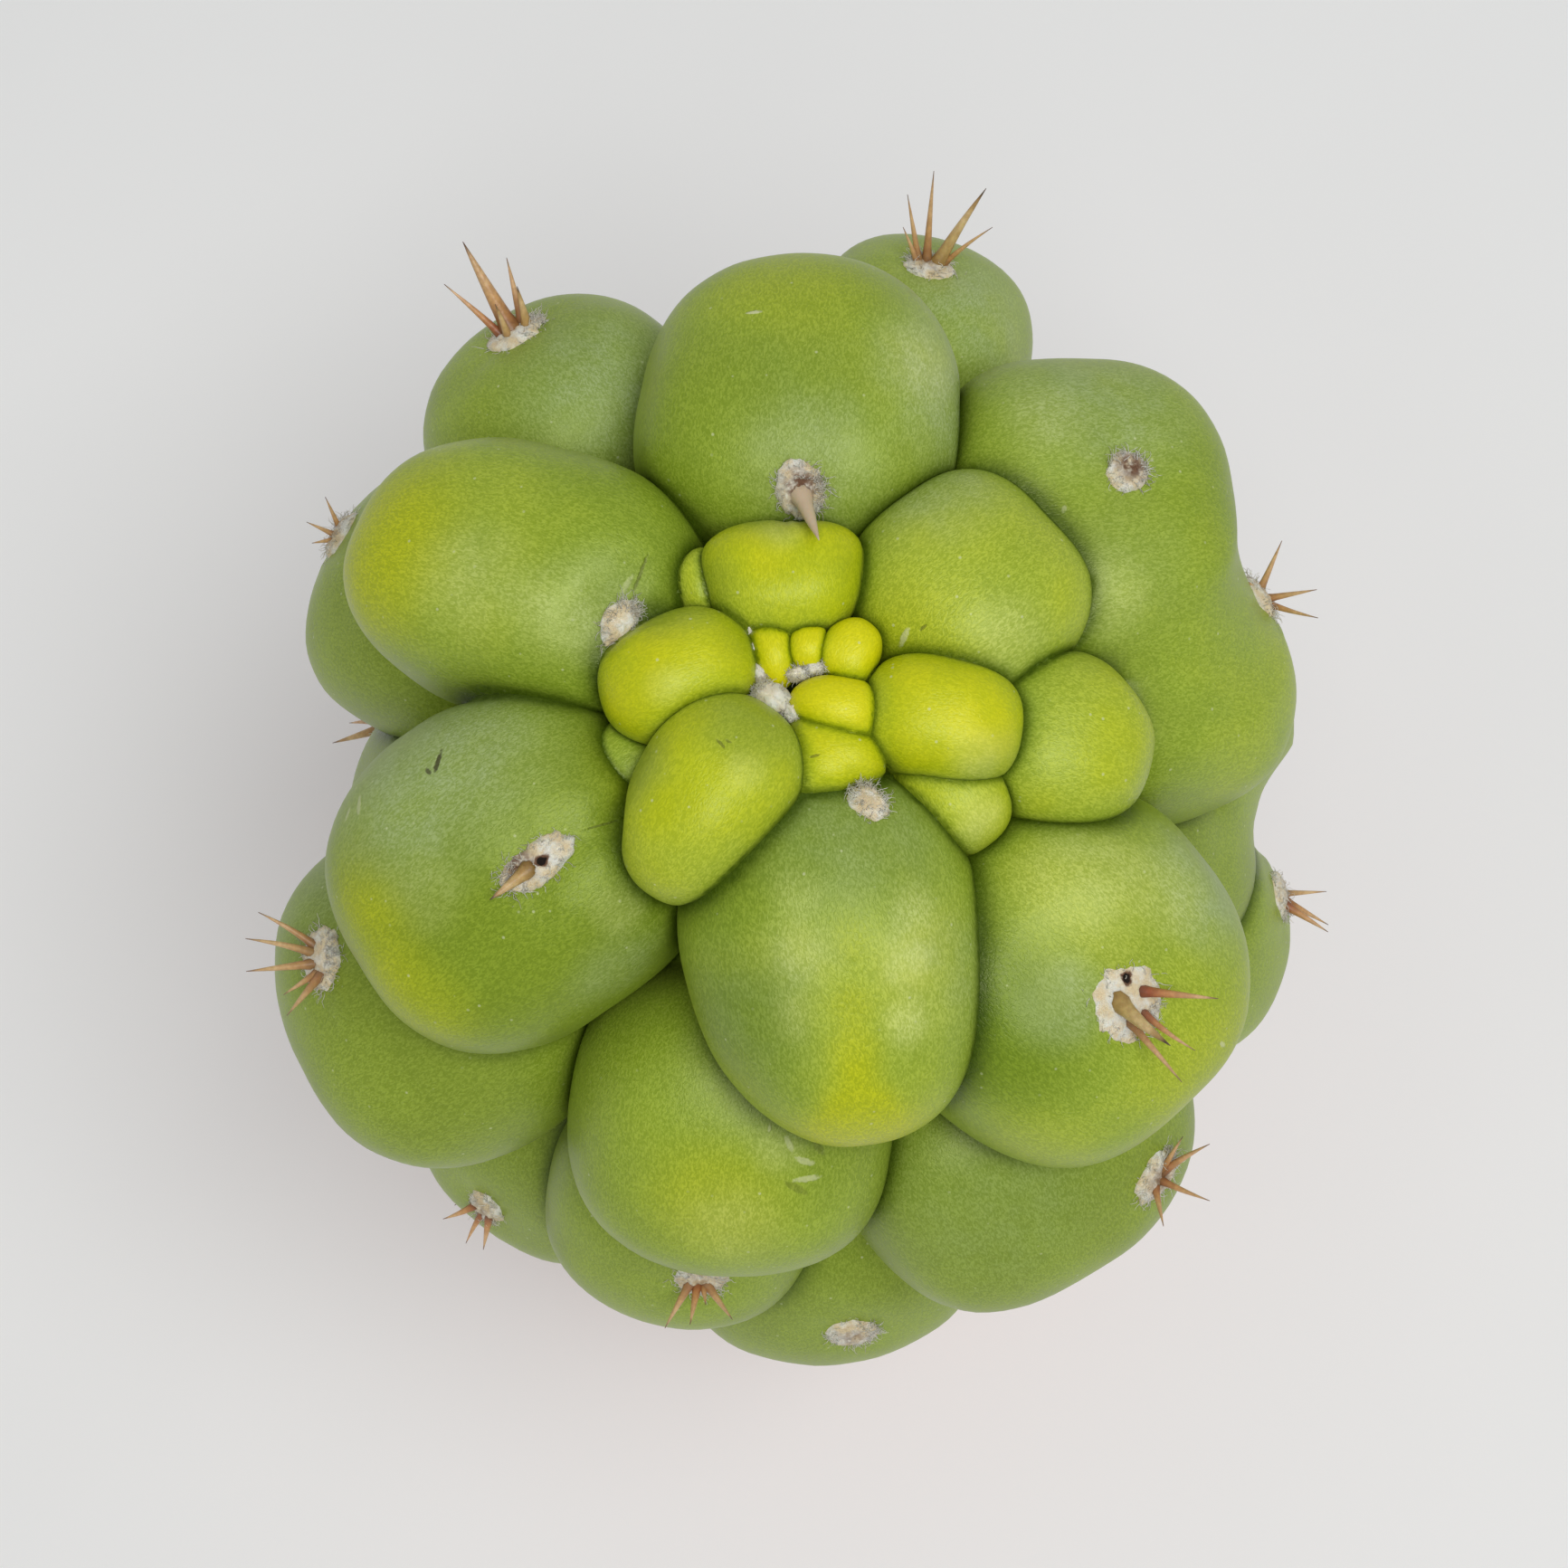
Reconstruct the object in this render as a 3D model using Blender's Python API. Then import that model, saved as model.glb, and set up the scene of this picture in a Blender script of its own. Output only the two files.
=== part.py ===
"""A potted monstrose cactus: one swollen stem with woolly, spiny areoles, rooted in a plain clay pot.

Metres, +Z up, origin at the middle of the pot's foot, which stands on the surface at Z 0. The front is -Y.
The plant's own tables, its core and its skirt are in millimetres and degrees. PLANT_UNIT turns them into
metres, and DROP_UNIT does so for drops below the crown.
"""

import math
import random
from collections import namedtuple

import bmesh
import bpy
from mathutils import Matrix, Vector
from mathutils.bvhtree import BVHTree

# Clay pot, a turned shape
POT_HEIGHT = 0.098
POT_RIM_RADIUS = 0.0545
POT_RIM_HEIGHT = 0.021
POT_RIM_STEP = 0.0035
POT_FOOT_RADIUS = 0.037
POT_WALL = 0.0050
POT_FLOOR = 0.0070
POT_EDGE = 0.0012
DRAIN_RADIUS = 0.0070
TURNED_STEPS = 40
CRISP_ANGLE = 40

# Potting mix and the grit spread over it
HEADSPACE = 0.0060
GRIT_DEPTH = 0.0045
ROOTED_DEPTH = 0.024
ROOTED_ROUND = 0.016
ROOTED_STEP = 15

# Plant
PLANT_HEIGHT = 0.136
PLANT_GIRTH = 0.116
NECK_RADIUS = 0.029
NECK_STRAIGHT = 0.00225
NECK_FLARE = 0.005
NECK_CAP = 0.0145
TABLE_GIRTH = 116
TABLE_HEIGHT = 136
PLANT_UNIT = PLANT_GIRTH / TABLE_GIRTH
DROP_UNIT = PLANT_HEIGHT / TABLE_HEIGHT
CORE_RADIUS = 36
CORE_TOP_DROP = 16
CORE_SUBDIVISIONS = 3
PLANT_CENTRE = (-0.0017, -0.0020)
SQUARENESS = 2.35
CROWN_CUTS = 3
OTHER_CUTS = 2
KEPT_FACETS = 0.42

# Lowest ring of swellings, which hangs over the neck and the pot's rim
SKIRT_COUNT = 8
SKIRT_CLEARANCE = 0.003
SKIRT_HALF_HEIGHT = 17.0
SKIRT_HALF_WIDTH = 19.0
SKIRT_HALF_DEPTH = 15.0
SKIRT_REACH = 36.5
SKIRT_DIP = 88
SKIRT_VARIATION = 1.5
SKIRT_TURN_VARIATION = 6
GROWTH_SEED = 4

# Areoles, the woolly pads that carry the spines
PAD_THICKNESS = 0.0034
PAD_SIDES = 10
PAD_RINGS = 5
SPINE_SIDES = 6
SPINE_BASE_RADIUS = 0.00065
SPINE_TIP_RADIUS = 0.00010
SPINE_ROOT = 0.0010

# Clearance between touching pieces, and round the rooted neck
GAP = 0.0003
ROOT_GAP = 0.0005

SOIL_TOP = POT_HEIGHT - HEADSPACE - GRIT_DEPTH - GAP
GRIT_TOP = POT_HEIGHT - HEADSPACE
CROWN_Z = GRIT_TOP + PLANT_HEIGHT
SKIRT_Z = POT_HEIGHT + SKIRT_CLEARANCE + SKIRT_HALF_HEIGHT * PLANT_UNIT

Swelling = namedtuple("Swelling", "bearing reach drop heading dip long wide deep egg square")

# Each swelling of the stem is an egg-like pillow. Its middle lies at a bearing and reach from the stem's axis
# and a drop below the crown. Its long axis points along heading and dips by dip. long, wide and deep are half
# sizes, and egg widens its outer end. square is how boxy it is, where 2 is a true ellipsoid.
BUDS = {
    "bud_1": (113, 5.0, 7.0, 100, 0, 3.8, 2.4, 3.0, 0.0),
    "bud_2": (71, 5.0, 6.5, 90, 0, 2.3, 2.1, 2.6, 0.0),
    "bud_3": (42, 7.2, 6.5, 70, 0, 3.6, 3.0, 3.2, 0.0),
    "bud_4": (-16, 4.0, 6.0, -12, 0, 4.8, 3.3, 3.4, 0.0),
    "bud_5": (-60, 6.9, 7.5, -5, 0, 5.4, 4.6, 4.5, -0.15),
}
YOUNG = {
    "young_north": (97, 11.7, 8.0, 90, 5, 6.0, 8.8, 6.0, 0.15, 2.7),
    "young_east": (-7, 14.2, 8.5, -12, 8, 8.2, 6.4, 6.5, 0.0),
    "young_south_east": (-28, 17.0, 12.5, -55, 10, 6.4, 5.5, 6.0, 0.0),
    "young_west": (166, 11.5, 7.5, 196, 5, 8.0, 6.4, 6.5, 0.1),
    "young_south_west": (-129, 12.8, 7.0, 237, 10, 10.8, 7.6, 8.0, -0.12),
    "young_north_west": (126, 15.0, 11.0, 120, 0, 4.0, 3.5, 5.0, 0.0),
    "young_far_west": (-162, 17.0, 13.0, 215, 0, 4.5, 4.5, 5.0, 0.0),
    "young_far_east": (-5, 26.4, 15.0, -12, 15, 9.0, 9.0, 8.0, 0.0),
}
CROWN = {
    "crown_north_east": (36, 20.9, 13.0, 40, 12, 12.0, 11.6, 10.0, 0.0),
    "crown_north": (89, 32.5, 18.0, 86, 22, 17.2, 16.4, 14.0, -0.08),
    "crown_north_west": (151, 30.2, 18.0, 160, 18, 18.8, 13.6, 13.5, -0.05, 2.5),
    "crown_west": (-154, 30.8, 22.0, 212, 22, 18.4, 17.0, 15.0, 0.0, 2.5),
    "crown_south": (-80, 23.5, 17.0, -78, 20, 18.7, 14.8, 14.0, -0.08),
    "crown_east": (37, 36.0, 26.0, 10, 25, 16.8, 18.6, 15.0, 0.0, 2.7),
    "crown_far_east": (14, 37.0, 34.0, 14, 42, 18.0, 15.0, 14.0, 0.0, 2.4),
    "crown_south_east": (-41, 35.2, 27.0, -42, 30, 18.5, 18.5, 15.0, 0.0, 2.4),
}
SHOULDER = {
    "shoulder_1": (75, 50.0, 44.0, 73, 50, 16.0, 13.0, 13.0, 0.0),
    "shoulder_2": (98, 43.0, 50.0, 98, 60, 17.0, 15.0, 12.0, 0.0),
    "shoulder_3": (123, 44.5, 36.0, 128, 45, 15.0, 15.0, 13.0, 0.0),
    "shoulder_4": (150, 43.2, 48.0, 158, 50, 18.0, 16.0, 13.0, 0.0),
    "shoulder_5": (180, 36.5, 62.0, 180, 70, 18.0, 16.0, 13.0, 0.0),
    "shoulder_6": (-150, 43.0, 46.0, 206, 40, 18.0, 18.5, 15.0, 0.0),
    "shoulder_7": (-100, 36.0, 40.0, -98, 40, 17.0, 17.0, 15.0, 0.0),
    "shoulder_8": (-57, 43.6, 51.0, -57, 45, 18.0, 19.5, 14.0, 0.0),
    "shoulder_9": (-8, 37.0, 56.0, -10, 60, 18.0, 14.0, 13.0, 0.0),
    "shoulder_10": (18, 43.0, 52.0, 15, 55, 18.0, 16.0, 12.0, 0.0),
    "shoulder_11": (46, 41.0, 58.0, 46, 65, 18.0, 16.0, 13.0, 0.0),
}
FLANK = {
    "flank_1": (84, 40.0, 82.0, 84, 78, 18.0, 18.0, 13.0, 0.0),
    "flank_2": (124, 39.0, 76.0, 124, 75, 18.0, 17.0, 14.0, 0.0),
    "flank_3": (160, 40.0, 84.0, 160, 80, 17.0, 18.0, 12.5, 0.0),
    "flank_4": (-166, 38.0, 90.0, 194, 82, 18.0, 16.0, 14.0, 0.0),
    "flank_5": (-130, 42.0, 76.0, 230, 60, 18.0, 16.0, 12.0, 0.0),
    "flank_6": (-106, 44.0, 62.0, -104, 60, 16.0, 15.0, 12.0, 0.0),
    "flank_7": (-84, 45.0, 78.0, -84, 60, 18.0, 16.0, 12.0, 0.0),
    "flank_8": (-48, 40.0, 84.0, -48, 75, 18.0, 17.0, 13.0, 0.0),
    "flank_9": (-15, 44.5, 68.0, -16, 60, 16.0, 14.0, 12.0, 0.0),
    "flank_10": (16, 39.5, 84.0, 16, 78, 18.0, 18.0, 13.0, 0.0),
    "flank_11": (50, 39.0, 90.0, 50, 80, 17.0, 16.0, 13.5, 0.0),
}

Areole = namedtuple("Areole", "turn lift length width spines reach lean")

# Each areole sits on the swelling it is named after, where a line from the swelling's middle leaves it. turn
# and lift aim that line in the swelling's own frame. length and width are the pad's half sizes, outwards and
# across. reach is the longest spine, and lean is how far the spines lie over, away from the stem's axis.
AREOLES = {
    "crown_north": (-177, 24, 2.3, 2.0, 1, 5.5, 12),
    "crown_north_west": (166, 29, 2.4, 1.8, 0, 0, 0),
    "crown_west": (150, 61, 3.6, 2.0, 1, 4.5, 50),
    "crown_south": (160, 27, 2.0, 1.6, 0, 0, 0),
    "crown_east": (114, 80, 2.2, 2.0, 0, 0, 0),
    "crown_south_east": (0, 88, 3.8, 3.4, 4, 8.5, 50),
    "crown_far_east": (27, 39, 3.0, 2.6, 3, 7.0, 50),
    "shoulder_1": (177, 74, 3.0, 2.6, 4, 8.0, 50),
    "shoulder_3": (-41, 84, 3.4, 3.0, 5, 9.5, 50),
    "shoulder_4": (-15, 54, 3.0, 2.6, 3, 6.0, 50),
    "shoulder_6": (-82, 67, 3.4, 2.8, 5, 8.0, 50),
    "shoulder_8": (62, 50, 3.2, 2.8, 4, 7.0, 50),
    "flank_1": (0, 75, 3.0, 2.6, 4, 8.0, 50),
    "flank_2": (0, 70, 3.0, 2.6, 4, 8.5, 50),
    "flank_3": (0, 72, 3.0, 2.6, 4, 8.0, 50),
    "flank_4": (0, 70, 3.0, 2.6, 5, 8.5, 50),
    "flank_5": (0, 60, 2.8, 2.4, 3, 5.5, 50),
    "flank_6": (112, 68, 3.0, 2.8, 4, 7.5, 50),
    "flank_7": (27, 74, 3.0, 2.8, 0, 0, 0),
    "flank_8": (0, 66, 3.0, 2.6, 4, 7.0, 50),
    "flank_9": (60, 50, 3.0, 2.6, 3, 7.0, 50),
    "flank_10": (0, 72, 3.0, 2.6, 4, 8.0, 50),
    "flank_11": (0, 70, 3.0, 2.6, 4, 8.0, 50),
    "skirt_2": (0, 70, 2.8, 2.4, 3, 6.5, 50),
    "skirt_4": (0, 70, 2.8, 2.4, 4, 6.5, 50),
    "skirt_6": (0, 70, 2.8, 2.4, 3, 6.5, 50),
    "skirt_8": (0, 70, 2.8, 2.4, 4, 6.5, 50),
}
FAN_SPREAD = 105
FAN_VARIATION = 6
LEAN_VARIATION = 10
OUTER_SHORTENING = 0.35
LENGTH_VARIATION = 0.15
PAD_SUNK = 0.4

# Wool packed between the youngest buds: its place across the crown, its drop and its half sizes
APEX_WOOL = (-2.2, 0.6, 8.6, 1.7, 1.5, 2.6)


def clear_scene():
    for old in list(bpy.data.objects):
        bpy.data.objects.remove(old, do_unlink=True)


def finish_material(name, colour, roughness):
    material = bpy.data.materials.new(name)
    material.use_nodes = True
    shader = material.node_tree.nodes["Principled BSDF"]
    shader.inputs["Base Color"].default_value = (*colour, 1.0)
    shader.inputs["Roughness"].default_value = roughness
    shader.inputs["Metallic"].default_value = 0.0
    return material


def mesh_object(name, mesh_maker, material=None):
    """Link mesh_maker's finished bmesh into the scene as one smooth object that stands at the origin."""
    mesh = bpy.data.meshes.new(name)
    mesh_maker.to_mesh(mesh)
    mesh_maker.free()
    mesh.shade_smooth()
    mesh.set_sharp_from_angle(angle=math.radians(CRISP_ANGLE))
    piece = bpy.data.objects.new(name, mesh)
    bpy.context.scene.collection.objects.link(piece)
    if material:
        mesh.materials.append(material)
    return piece


def combine(body, operation, tools):
    """Unite all the tools with the body, or cut them all from it, with one Boolean."""
    group = bpy.data.collections.new(f"{body.name}_{operation.lower()}")
    for tool in tools:
        tool.hide_render = True
        tool.display_type = "WIRE"
        group.objects.link(tool)
    boolean = body.modifiers.new(operation.capitalize(), "BOOLEAN")
    boolean.operation = operation
    boolean.operand_type = "COLLECTION"
    boolean.collection = group
    boolean.solver = "EXACT"


def turned(profile):
    """Spin (radius, height) points round the Z axis. The profile runs anticlockwise seen from -Y."""
    solid = bmesh.new()
    corners = [solid.verts.new((radius, 0.0, height)) for radius, height in profile]
    rims = [solid.edges.new(pair) for pair in zip(corners, corners[1:])]
    if profile[0][0] > 0.0:
        rims.append(solid.edges.new((corners[-1], corners[0])))
    bmesh.ops.spin(
        solid,
        geom=corners + rims,
        cent=(0, 0, 0),
        axis=(0, 0, 1),
        angle=math.tau,
        steps=TURNED_STEPS,
        use_merge=True,
    )
    bmesh.ops.remove_doubles(solid, verts=solid.verts, dist=1e-6)
    bmesh.ops.recalc_face_normals(solid, faces=solid.faces)
    return solid


def inner_radius(height):
    """Radius of the pot's tapering inside at a height."""
    foot = POT_FOOT_RADIUS - POT_WALL
    rim = POT_RIM_RADIUS - POT_WALL
    return foot + (rim - foot) * (height - POT_FLOOR) / (POT_HEIGHT - POT_FLOOR)


def clay_pot():
    rim_underside = POT_HEIGHT - POT_RIM_HEIGHT
    pot = turned([
        (DRAIN_RADIUS, 0.0),
        (POT_FOOT_RADIUS, 0.0),
        (POT_RIM_RADIUS - POT_RIM_STEP, rim_underside),
        (POT_RIM_RADIUS, rim_underside + POT_EDGE),
        (POT_RIM_RADIUS, POT_HEIGHT),
        (inner_radius(POT_HEIGHT), POT_HEIGHT),
        (inner_radius(POT_FLOOR), POT_FLOOR),
        (DRAIN_RADIUS, POT_FLOOR),
    ])
    piece = mesh_object("clay_pot", pot, finish_material("terracotta", (0.52, 0.22, 0.12), 0.85))
    edge = piece.modifiers.new("Softened edges", "BEVEL")
    edge.width = POT_EDGE
    edge.segments = 2
    edge.limit_method = "ANGLE"
    edge.angle_limit = math.radians(CRISP_ANGLE)


def rooted_end(spare):
    """Half outline of the stem's rooted end, from its tip up to the neck, grown by spare on every side."""
    shoulder = SOIL_TOP - (ROOTED_DEPTH - ROOTED_ROUND)
    outline = []
    for degrees in range(90, -1, -ROOTED_STEP):
        angle = math.radians(degrees)
        radius = 0.0 if degrees == 90 else (NECK_RADIUS + spare) * math.cos(angle)
        outline.append((radius, shoulder - (ROOTED_ROUND + spare) * math.sin(angle)))
    return outline


def potting_mix():
    floor = POT_FLOOR + GAP
    corner = floor + 2 * POT_EDGE
    outside = [
        (0.0, floor),
        (inner_radius(floor) - GAP - 2 * POT_EDGE, floor),
        (inner_radius(corner) - GAP, corner),
        (inner_radius(SOIL_TOP) - GAP, SOIL_TOP),
    ]
    socket = [(NECK_RADIUS + ROOT_GAP, SOIL_TOP)] + rooted_end(ROOT_GAP)[::-1]
    peat = finish_material("potting_mix", (0.09, 0.06, 0.04), 0.95)
    mesh_object("potting_mix", turned(outside + socket), peat)


def grit_top_dressing():
    bottom = SOIL_TOP + GAP
    grit = turned([
        (NECK_RADIUS + ROOT_GAP, bottom),
        (inner_radius(bottom) - GAP, bottom),
        (inner_radius(GRIT_TOP) - GAP, GRIT_TOP),
        (NECK_RADIUS + ROOT_GAP, GRIT_TOP),
    ])
    mesh_object("grit_top_dressing", grit, finish_material("pale_grit", (0.62, 0.57, 0.50), 0.9))


def swelling_matrix(swelling):
    bearing = math.radians(swelling.bearing)
    x = PLANT_CENTRE[0] + swelling.reach * PLANT_UNIT * math.cos(bearing)
    y = PLANT_CENTRE[1] + swelling.reach * PLANT_UNIT * math.sin(bearing)
    place = Matrix.Translation((x, y, CROWN_Z - swelling.drop * DROP_UNIT))
    heading = Matrix.Rotation(math.radians(swelling.heading), 4, "Z")
    dip = Matrix.Rotation(math.radians(swelling.dip), 4, "Y")
    return place @ heading @ dip @ Matrix.Scale(PLANT_UNIT, 4)


def pillow(swelling, cuts):
    """One swelling: a ball squared off towards a rounded box, widened to its outer end, in its own place."""
    square = swelling.square
    body = bmesh.new()
    bmesh.ops.create_icosphere(body, subdivisions=1, radius=1.0)
    bmesh.ops.subdivide_edges(body, edges=body.edges, cuts=cuts, use_grid_fill=True)
    for vertex in body.verts:
        x, y, z = vertex.co / sum(abs(c) ** square for c in vertex.co) ** (1 / square)
        vertex.co = (swelling.long * x, swelling.wide * y * (1 + swelling.egg * x), swelling.deep * z)
    bmesh.ops.transform(body, matrix=swelling_matrix(swelling), verts=body.verts)
    return body


def skirt():
    """Rows for the lowest ring, evenly spaced and each a little different."""
    chance = random.Random(GROWTH_SEED)
    drop = (CROWN_Z - SKIRT_Z) / DROP_UNIT
    rows = {}
    for number in range(SKIRT_COUNT):
        turn = chance.uniform(-SKIRT_TURN_VARIATION, SKIRT_TURN_VARIATION)
        bearing = 360 * number / SKIRT_COUNT + turn
        reach = SKIRT_REACH + chance.uniform(-SKIRT_VARIATION, SKIRT_VARIATION)
        long = SKIRT_HALF_HEIGHT - chance.uniform(0, SKIRT_VARIATION)
        wide = SKIRT_HALF_WIDTH - chance.uniform(0, SKIRT_VARIATION)
        row = (bearing, reach, drop, bearing, SKIRT_DIP, long, wide, SKIRT_HALF_DEPTH, 0.0)
        rows[f"skirt_{number + 1}"] = row
    return rows


def all_swellings():
    rows = {**BUDS, **YOUNG, **CROWN, **SHOULDER, **FLANK, **skirt()}
    return {name: Swelling(*(row if len(row) == 10 else (*row, SQUARENESS))) for name, row in rows.items()}


def core():
    """The column that the swellings grow from, and the corky neck and rooted end under it."""
    column = bmesh.new()
    bmesh.ops.create_icosphere(column, subdivisions=CORE_SUBDIVISIONS, radius=1.0)
    top = CROWN_Z - CORE_TOP_DROP * DROP_UNIT
    radius = CORE_RADIUS * PLANT_UNIT
    lift = Matrix.Translation((*PLANT_CENTRE, (top + GRIT_TOP) / 2))
    size = Matrix.Diagonal((radius, radius, (top - GRIT_TOP) / 2, 1.0))
    bmesh.ops.transform(column, matrix=lift @ size, verts=column.verts)
    neck = turned(rooted_end(0.0) + [
        (NECK_RADIUS, GRIT_TOP + NECK_STRAIGHT),
        (NECK_RADIUS + NECK_FLARE, SKIRT_Z),
        (0.0, SKIRT_Z + NECK_CAP),
    ])
    return mesh_object("stem_column", column), mesh_object("stem_neck", neck)


def outward_frame(place, normal):
    """Axes on the stem's surface: Z out of it, and X along it, away from the stem's axis."""
    away = Vector((place.x - PLANT_CENTRE[0], place.y - PLANT_CENTRE[1], 0.0))
    along = (away - normal * away.dot(normal)).normalized()
    across = normal.cross(along)
    frame = Matrix((along, across, normal)).transposed().to_4x4()
    frame.translation = place
    return frame


def pad(frame, half_sizes, spare):
    ball = bmesh.new()
    bmesh.ops.create_uvsphere(ball, u_segments=PAD_SIDES, v_segments=PAD_RINGS, radius=1.0)
    size = Matrix.Diagonal((*(half + spare for half in half_sizes), 1.0))
    bmesh.ops.transform(ball, matrix=frame @ size, verts=ball.verts)
    return ball


def spine(frame, direction, lean, reach):
    """One spine: a slim cone rooted in the pad, turned to its direction and leaning out of it."""
    cone = bmesh.new()
    bmesh.ops.create_cone(
        cone,
        cap_ends=True,
        segments=SPINE_SIDES,
        radius1=SPINE_BASE_RADIUS,
        radius2=SPINE_TIP_RADIUS,
        depth=reach,
        matrix=Matrix.Translation((0.0, 0.0, reach / 2)),
    )
    turn = Matrix.Rotation(math.radians(direction), 4, "Z")
    tilt = Matrix.Rotation(math.radians(lean), 4, "Y")
    root = Matrix.Translation((SPINE_ROOT, 0.0, 0.0))
    bmesh.ops.transform(cone, matrix=frame @ turn @ root @ tilt, verts=cone.verts)
    return cone


def areole(name, row, frame, material, chance):
    """A woolly pad and the spray of spines that grows from it, as one body. Returns the pit that seats it."""
    half_sizes = (row.length * PLANT_UNIT, row.width * PLANT_UNIT, PAD_THICKNESS / 2)
    body = mesh_object(f"areole_{name}", pad(frame, half_sizes, 0.0), material)
    spines = []
    for number in range(row.spines):
        share = (number + 0.5) / row.spines - 0.5
        direction = FAN_SPREAD * share + chance.uniform(-FAN_VARIATION, FAN_VARIATION)
        lean = row.lean + chance.uniform(-LEAN_VARIATION, LEAN_VARIATION)
        shortening = OUTER_SHORTENING * abs(share) + chance.uniform(0, LENGTH_VARIATION)
        reach = row.reach * PLANT_UNIT * (1 - shortening)
        spines.append(mesh_object(f"{name}_spine_{number + 1}", spine(frame, direction, lean, reach)))
    if spines:
        combine(body, "UNION", spines)
    return mesh_object(f"{name}_pit", pad(frame, half_sizes, GAP))


def apex_wool(material):
    x, y, drop, *half_sizes = APEX_WOOL
    place = (PLANT_CENTRE[0] + x * PLANT_UNIT, PLANT_CENTRE[1] + y * PLANT_UNIT, CROWN_Z - drop * DROP_UNIT)
    frame = Matrix.Translation(place)
    half_sizes = [half * PLANT_UNIT for half in half_sizes]
    mesh_object("apex_wool", pad(frame, half_sizes, 0.0), material)
    return mesh_object("apex_wool_pit", pad(frame, half_sizes, GAP))


def cactus():
    """The stem grew as one piece, so its swellings are united in one solid, with a pit for each areole."""
    wool = finish_material("wool_and_spines", (0.72, 0.64, 0.50), 0.9)
    skin = finish_material("cactus_skin", (0.22, 0.33, 0.08), 0.45)
    chance = random.Random(GROWTH_SEED)
    swellings = all_swellings()
    pieces = []
    pits = [apex_wool(wool)]
    for name, swelling in swellings.items():
        shape = pillow(swelling, CROWN_CUTS if name in CROWN else OTHER_CUTS)
        if name in AREOLES:
            row = Areole(*AREOLES[name])
            middle = swelling_matrix(swelling)
            turn = Matrix.Rotation(math.radians(row.turn), 3, "Z")
            aim = turn @ Matrix.Rotation(math.radians(-row.lift), 3, "Y")
            line = middle.to_3x3() @ aim @ Vector((1.0, 0.0, 0.0))
            surface = BVHTree.FromBMesh(shape)
            place, normal, _, _ = surface.ray_cast(middle.translation, line.normalized())
            seat = outward_frame(place - normal * PAD_SUNK * PLANT_UNIT, normal)
            pits.append(areole(name, row, seat, wool, chance))
        pieces.append(mesh_object(name, shape))
    column, neck = core()
    column.name = "cactus_stem"
    column.data.materials.append(skin)
    combine(column, "UNION", pieces + [neck])
    lighten = column.modifiers.new("Fewer facets", "DECIMATE")
    lighten.ratio = KEPT_FACETS
    combine(column, "DIFFERENCE", pits)


clear_scene()
clay_pot()
potting_mix()
grit_top_dressing()
cactus()
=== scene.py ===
"""Looks for a potted monstrose cactus: knobbly stem, woolly areoles with spines, grit, potting mix and a clay pot."""

import math
import random
from collections import namedtuple

import bmesh
import bpy
import numpy as np
from mathutils import Matrix, Vector, noise
from mathutils.bvhtree import BVHTree
from mathutils.kdtree import KDTree


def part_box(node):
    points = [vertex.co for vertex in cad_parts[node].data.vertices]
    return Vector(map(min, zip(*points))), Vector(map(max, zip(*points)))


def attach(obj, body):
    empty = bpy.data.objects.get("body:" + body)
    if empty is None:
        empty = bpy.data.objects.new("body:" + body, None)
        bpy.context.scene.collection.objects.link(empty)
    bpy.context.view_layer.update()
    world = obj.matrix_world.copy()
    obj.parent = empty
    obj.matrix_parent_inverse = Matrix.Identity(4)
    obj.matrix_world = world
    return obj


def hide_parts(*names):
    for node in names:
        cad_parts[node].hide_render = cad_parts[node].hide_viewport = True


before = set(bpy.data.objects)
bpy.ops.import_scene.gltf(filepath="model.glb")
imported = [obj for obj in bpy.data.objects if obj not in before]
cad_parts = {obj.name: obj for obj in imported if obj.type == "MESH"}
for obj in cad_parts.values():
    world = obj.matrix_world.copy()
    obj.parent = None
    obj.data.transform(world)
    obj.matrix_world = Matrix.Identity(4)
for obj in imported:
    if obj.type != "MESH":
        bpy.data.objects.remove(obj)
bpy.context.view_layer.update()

# --- Clay pot ---
# A thrown and turned pot of unglazed red clay, fired once. Its rolled rim, its wall and its foot are one body with a
# drainage hole, and its surface keeps faint turning rings and the pale salts that watering leaves.

MM = 0.001
POT_TURNS = 112
POT_WALL = 5.0 * MM
POT_FLOOR = 7.0 * MM
POT_RIM_HEIGHT = 21.0 * MM
POT_RIM_STEP = 3.5 * MM
POT_FOOT_RADIUS = 37.0 * MM
DRAIN_RADIUS = 7.0 * MM
POT_EDGE = 1.2 * MM
WALL_RINGS = 34
TURNED_ANGLE = math.radians(35)
# The turning rings: their depth, how fast they follow one another up the wall and how fast their spacing drifts.
RING_DEPTH = 0.10 * MM
RING_RATE = 2300.0
DRIFT_RATE = 310.0
WARP_SCALE = 22.0
WARP_DEPTH = 0.45
CLAY_RED = (0.45, 0.155, 0.070)
CLAY_PALE = (0.60, 0.27, 0.145)
CLAY_DARK = (0.25, 0.080, 0.040)
SALT_WHITE = (0.72, 0.66, 0.58)
# How far up the pot the salts reach, and where they are strongest, as shares of its height.
SALT_TOP = 0.55
SALT_FULL = 0.02
MOTTLE_DETAIL = 4.0
# The places of a colour mix's sockets, which share their names with those for other kinds of value.
MIX_FACTOR, MIX_FIRST, MIX_SECOND, MIX_RESULT = 0, 6, 7, 2

pot_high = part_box("clay_pot")[1]
POT_HEIGHT = pot_high[2]
POT_RIM_RADIUS = pot_high[0]


def fill(tree, shader_node, inputs):
    """Link each input to a socket, or give it a plain value."""
    for socket, value in inputs.items():
        if isinstance(value, bpy.types.NodeSocket):
            tree.links.new(value, shader_node.inputs[socket])
        else:
            shader_node.inputs[socket].default_value = value


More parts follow.
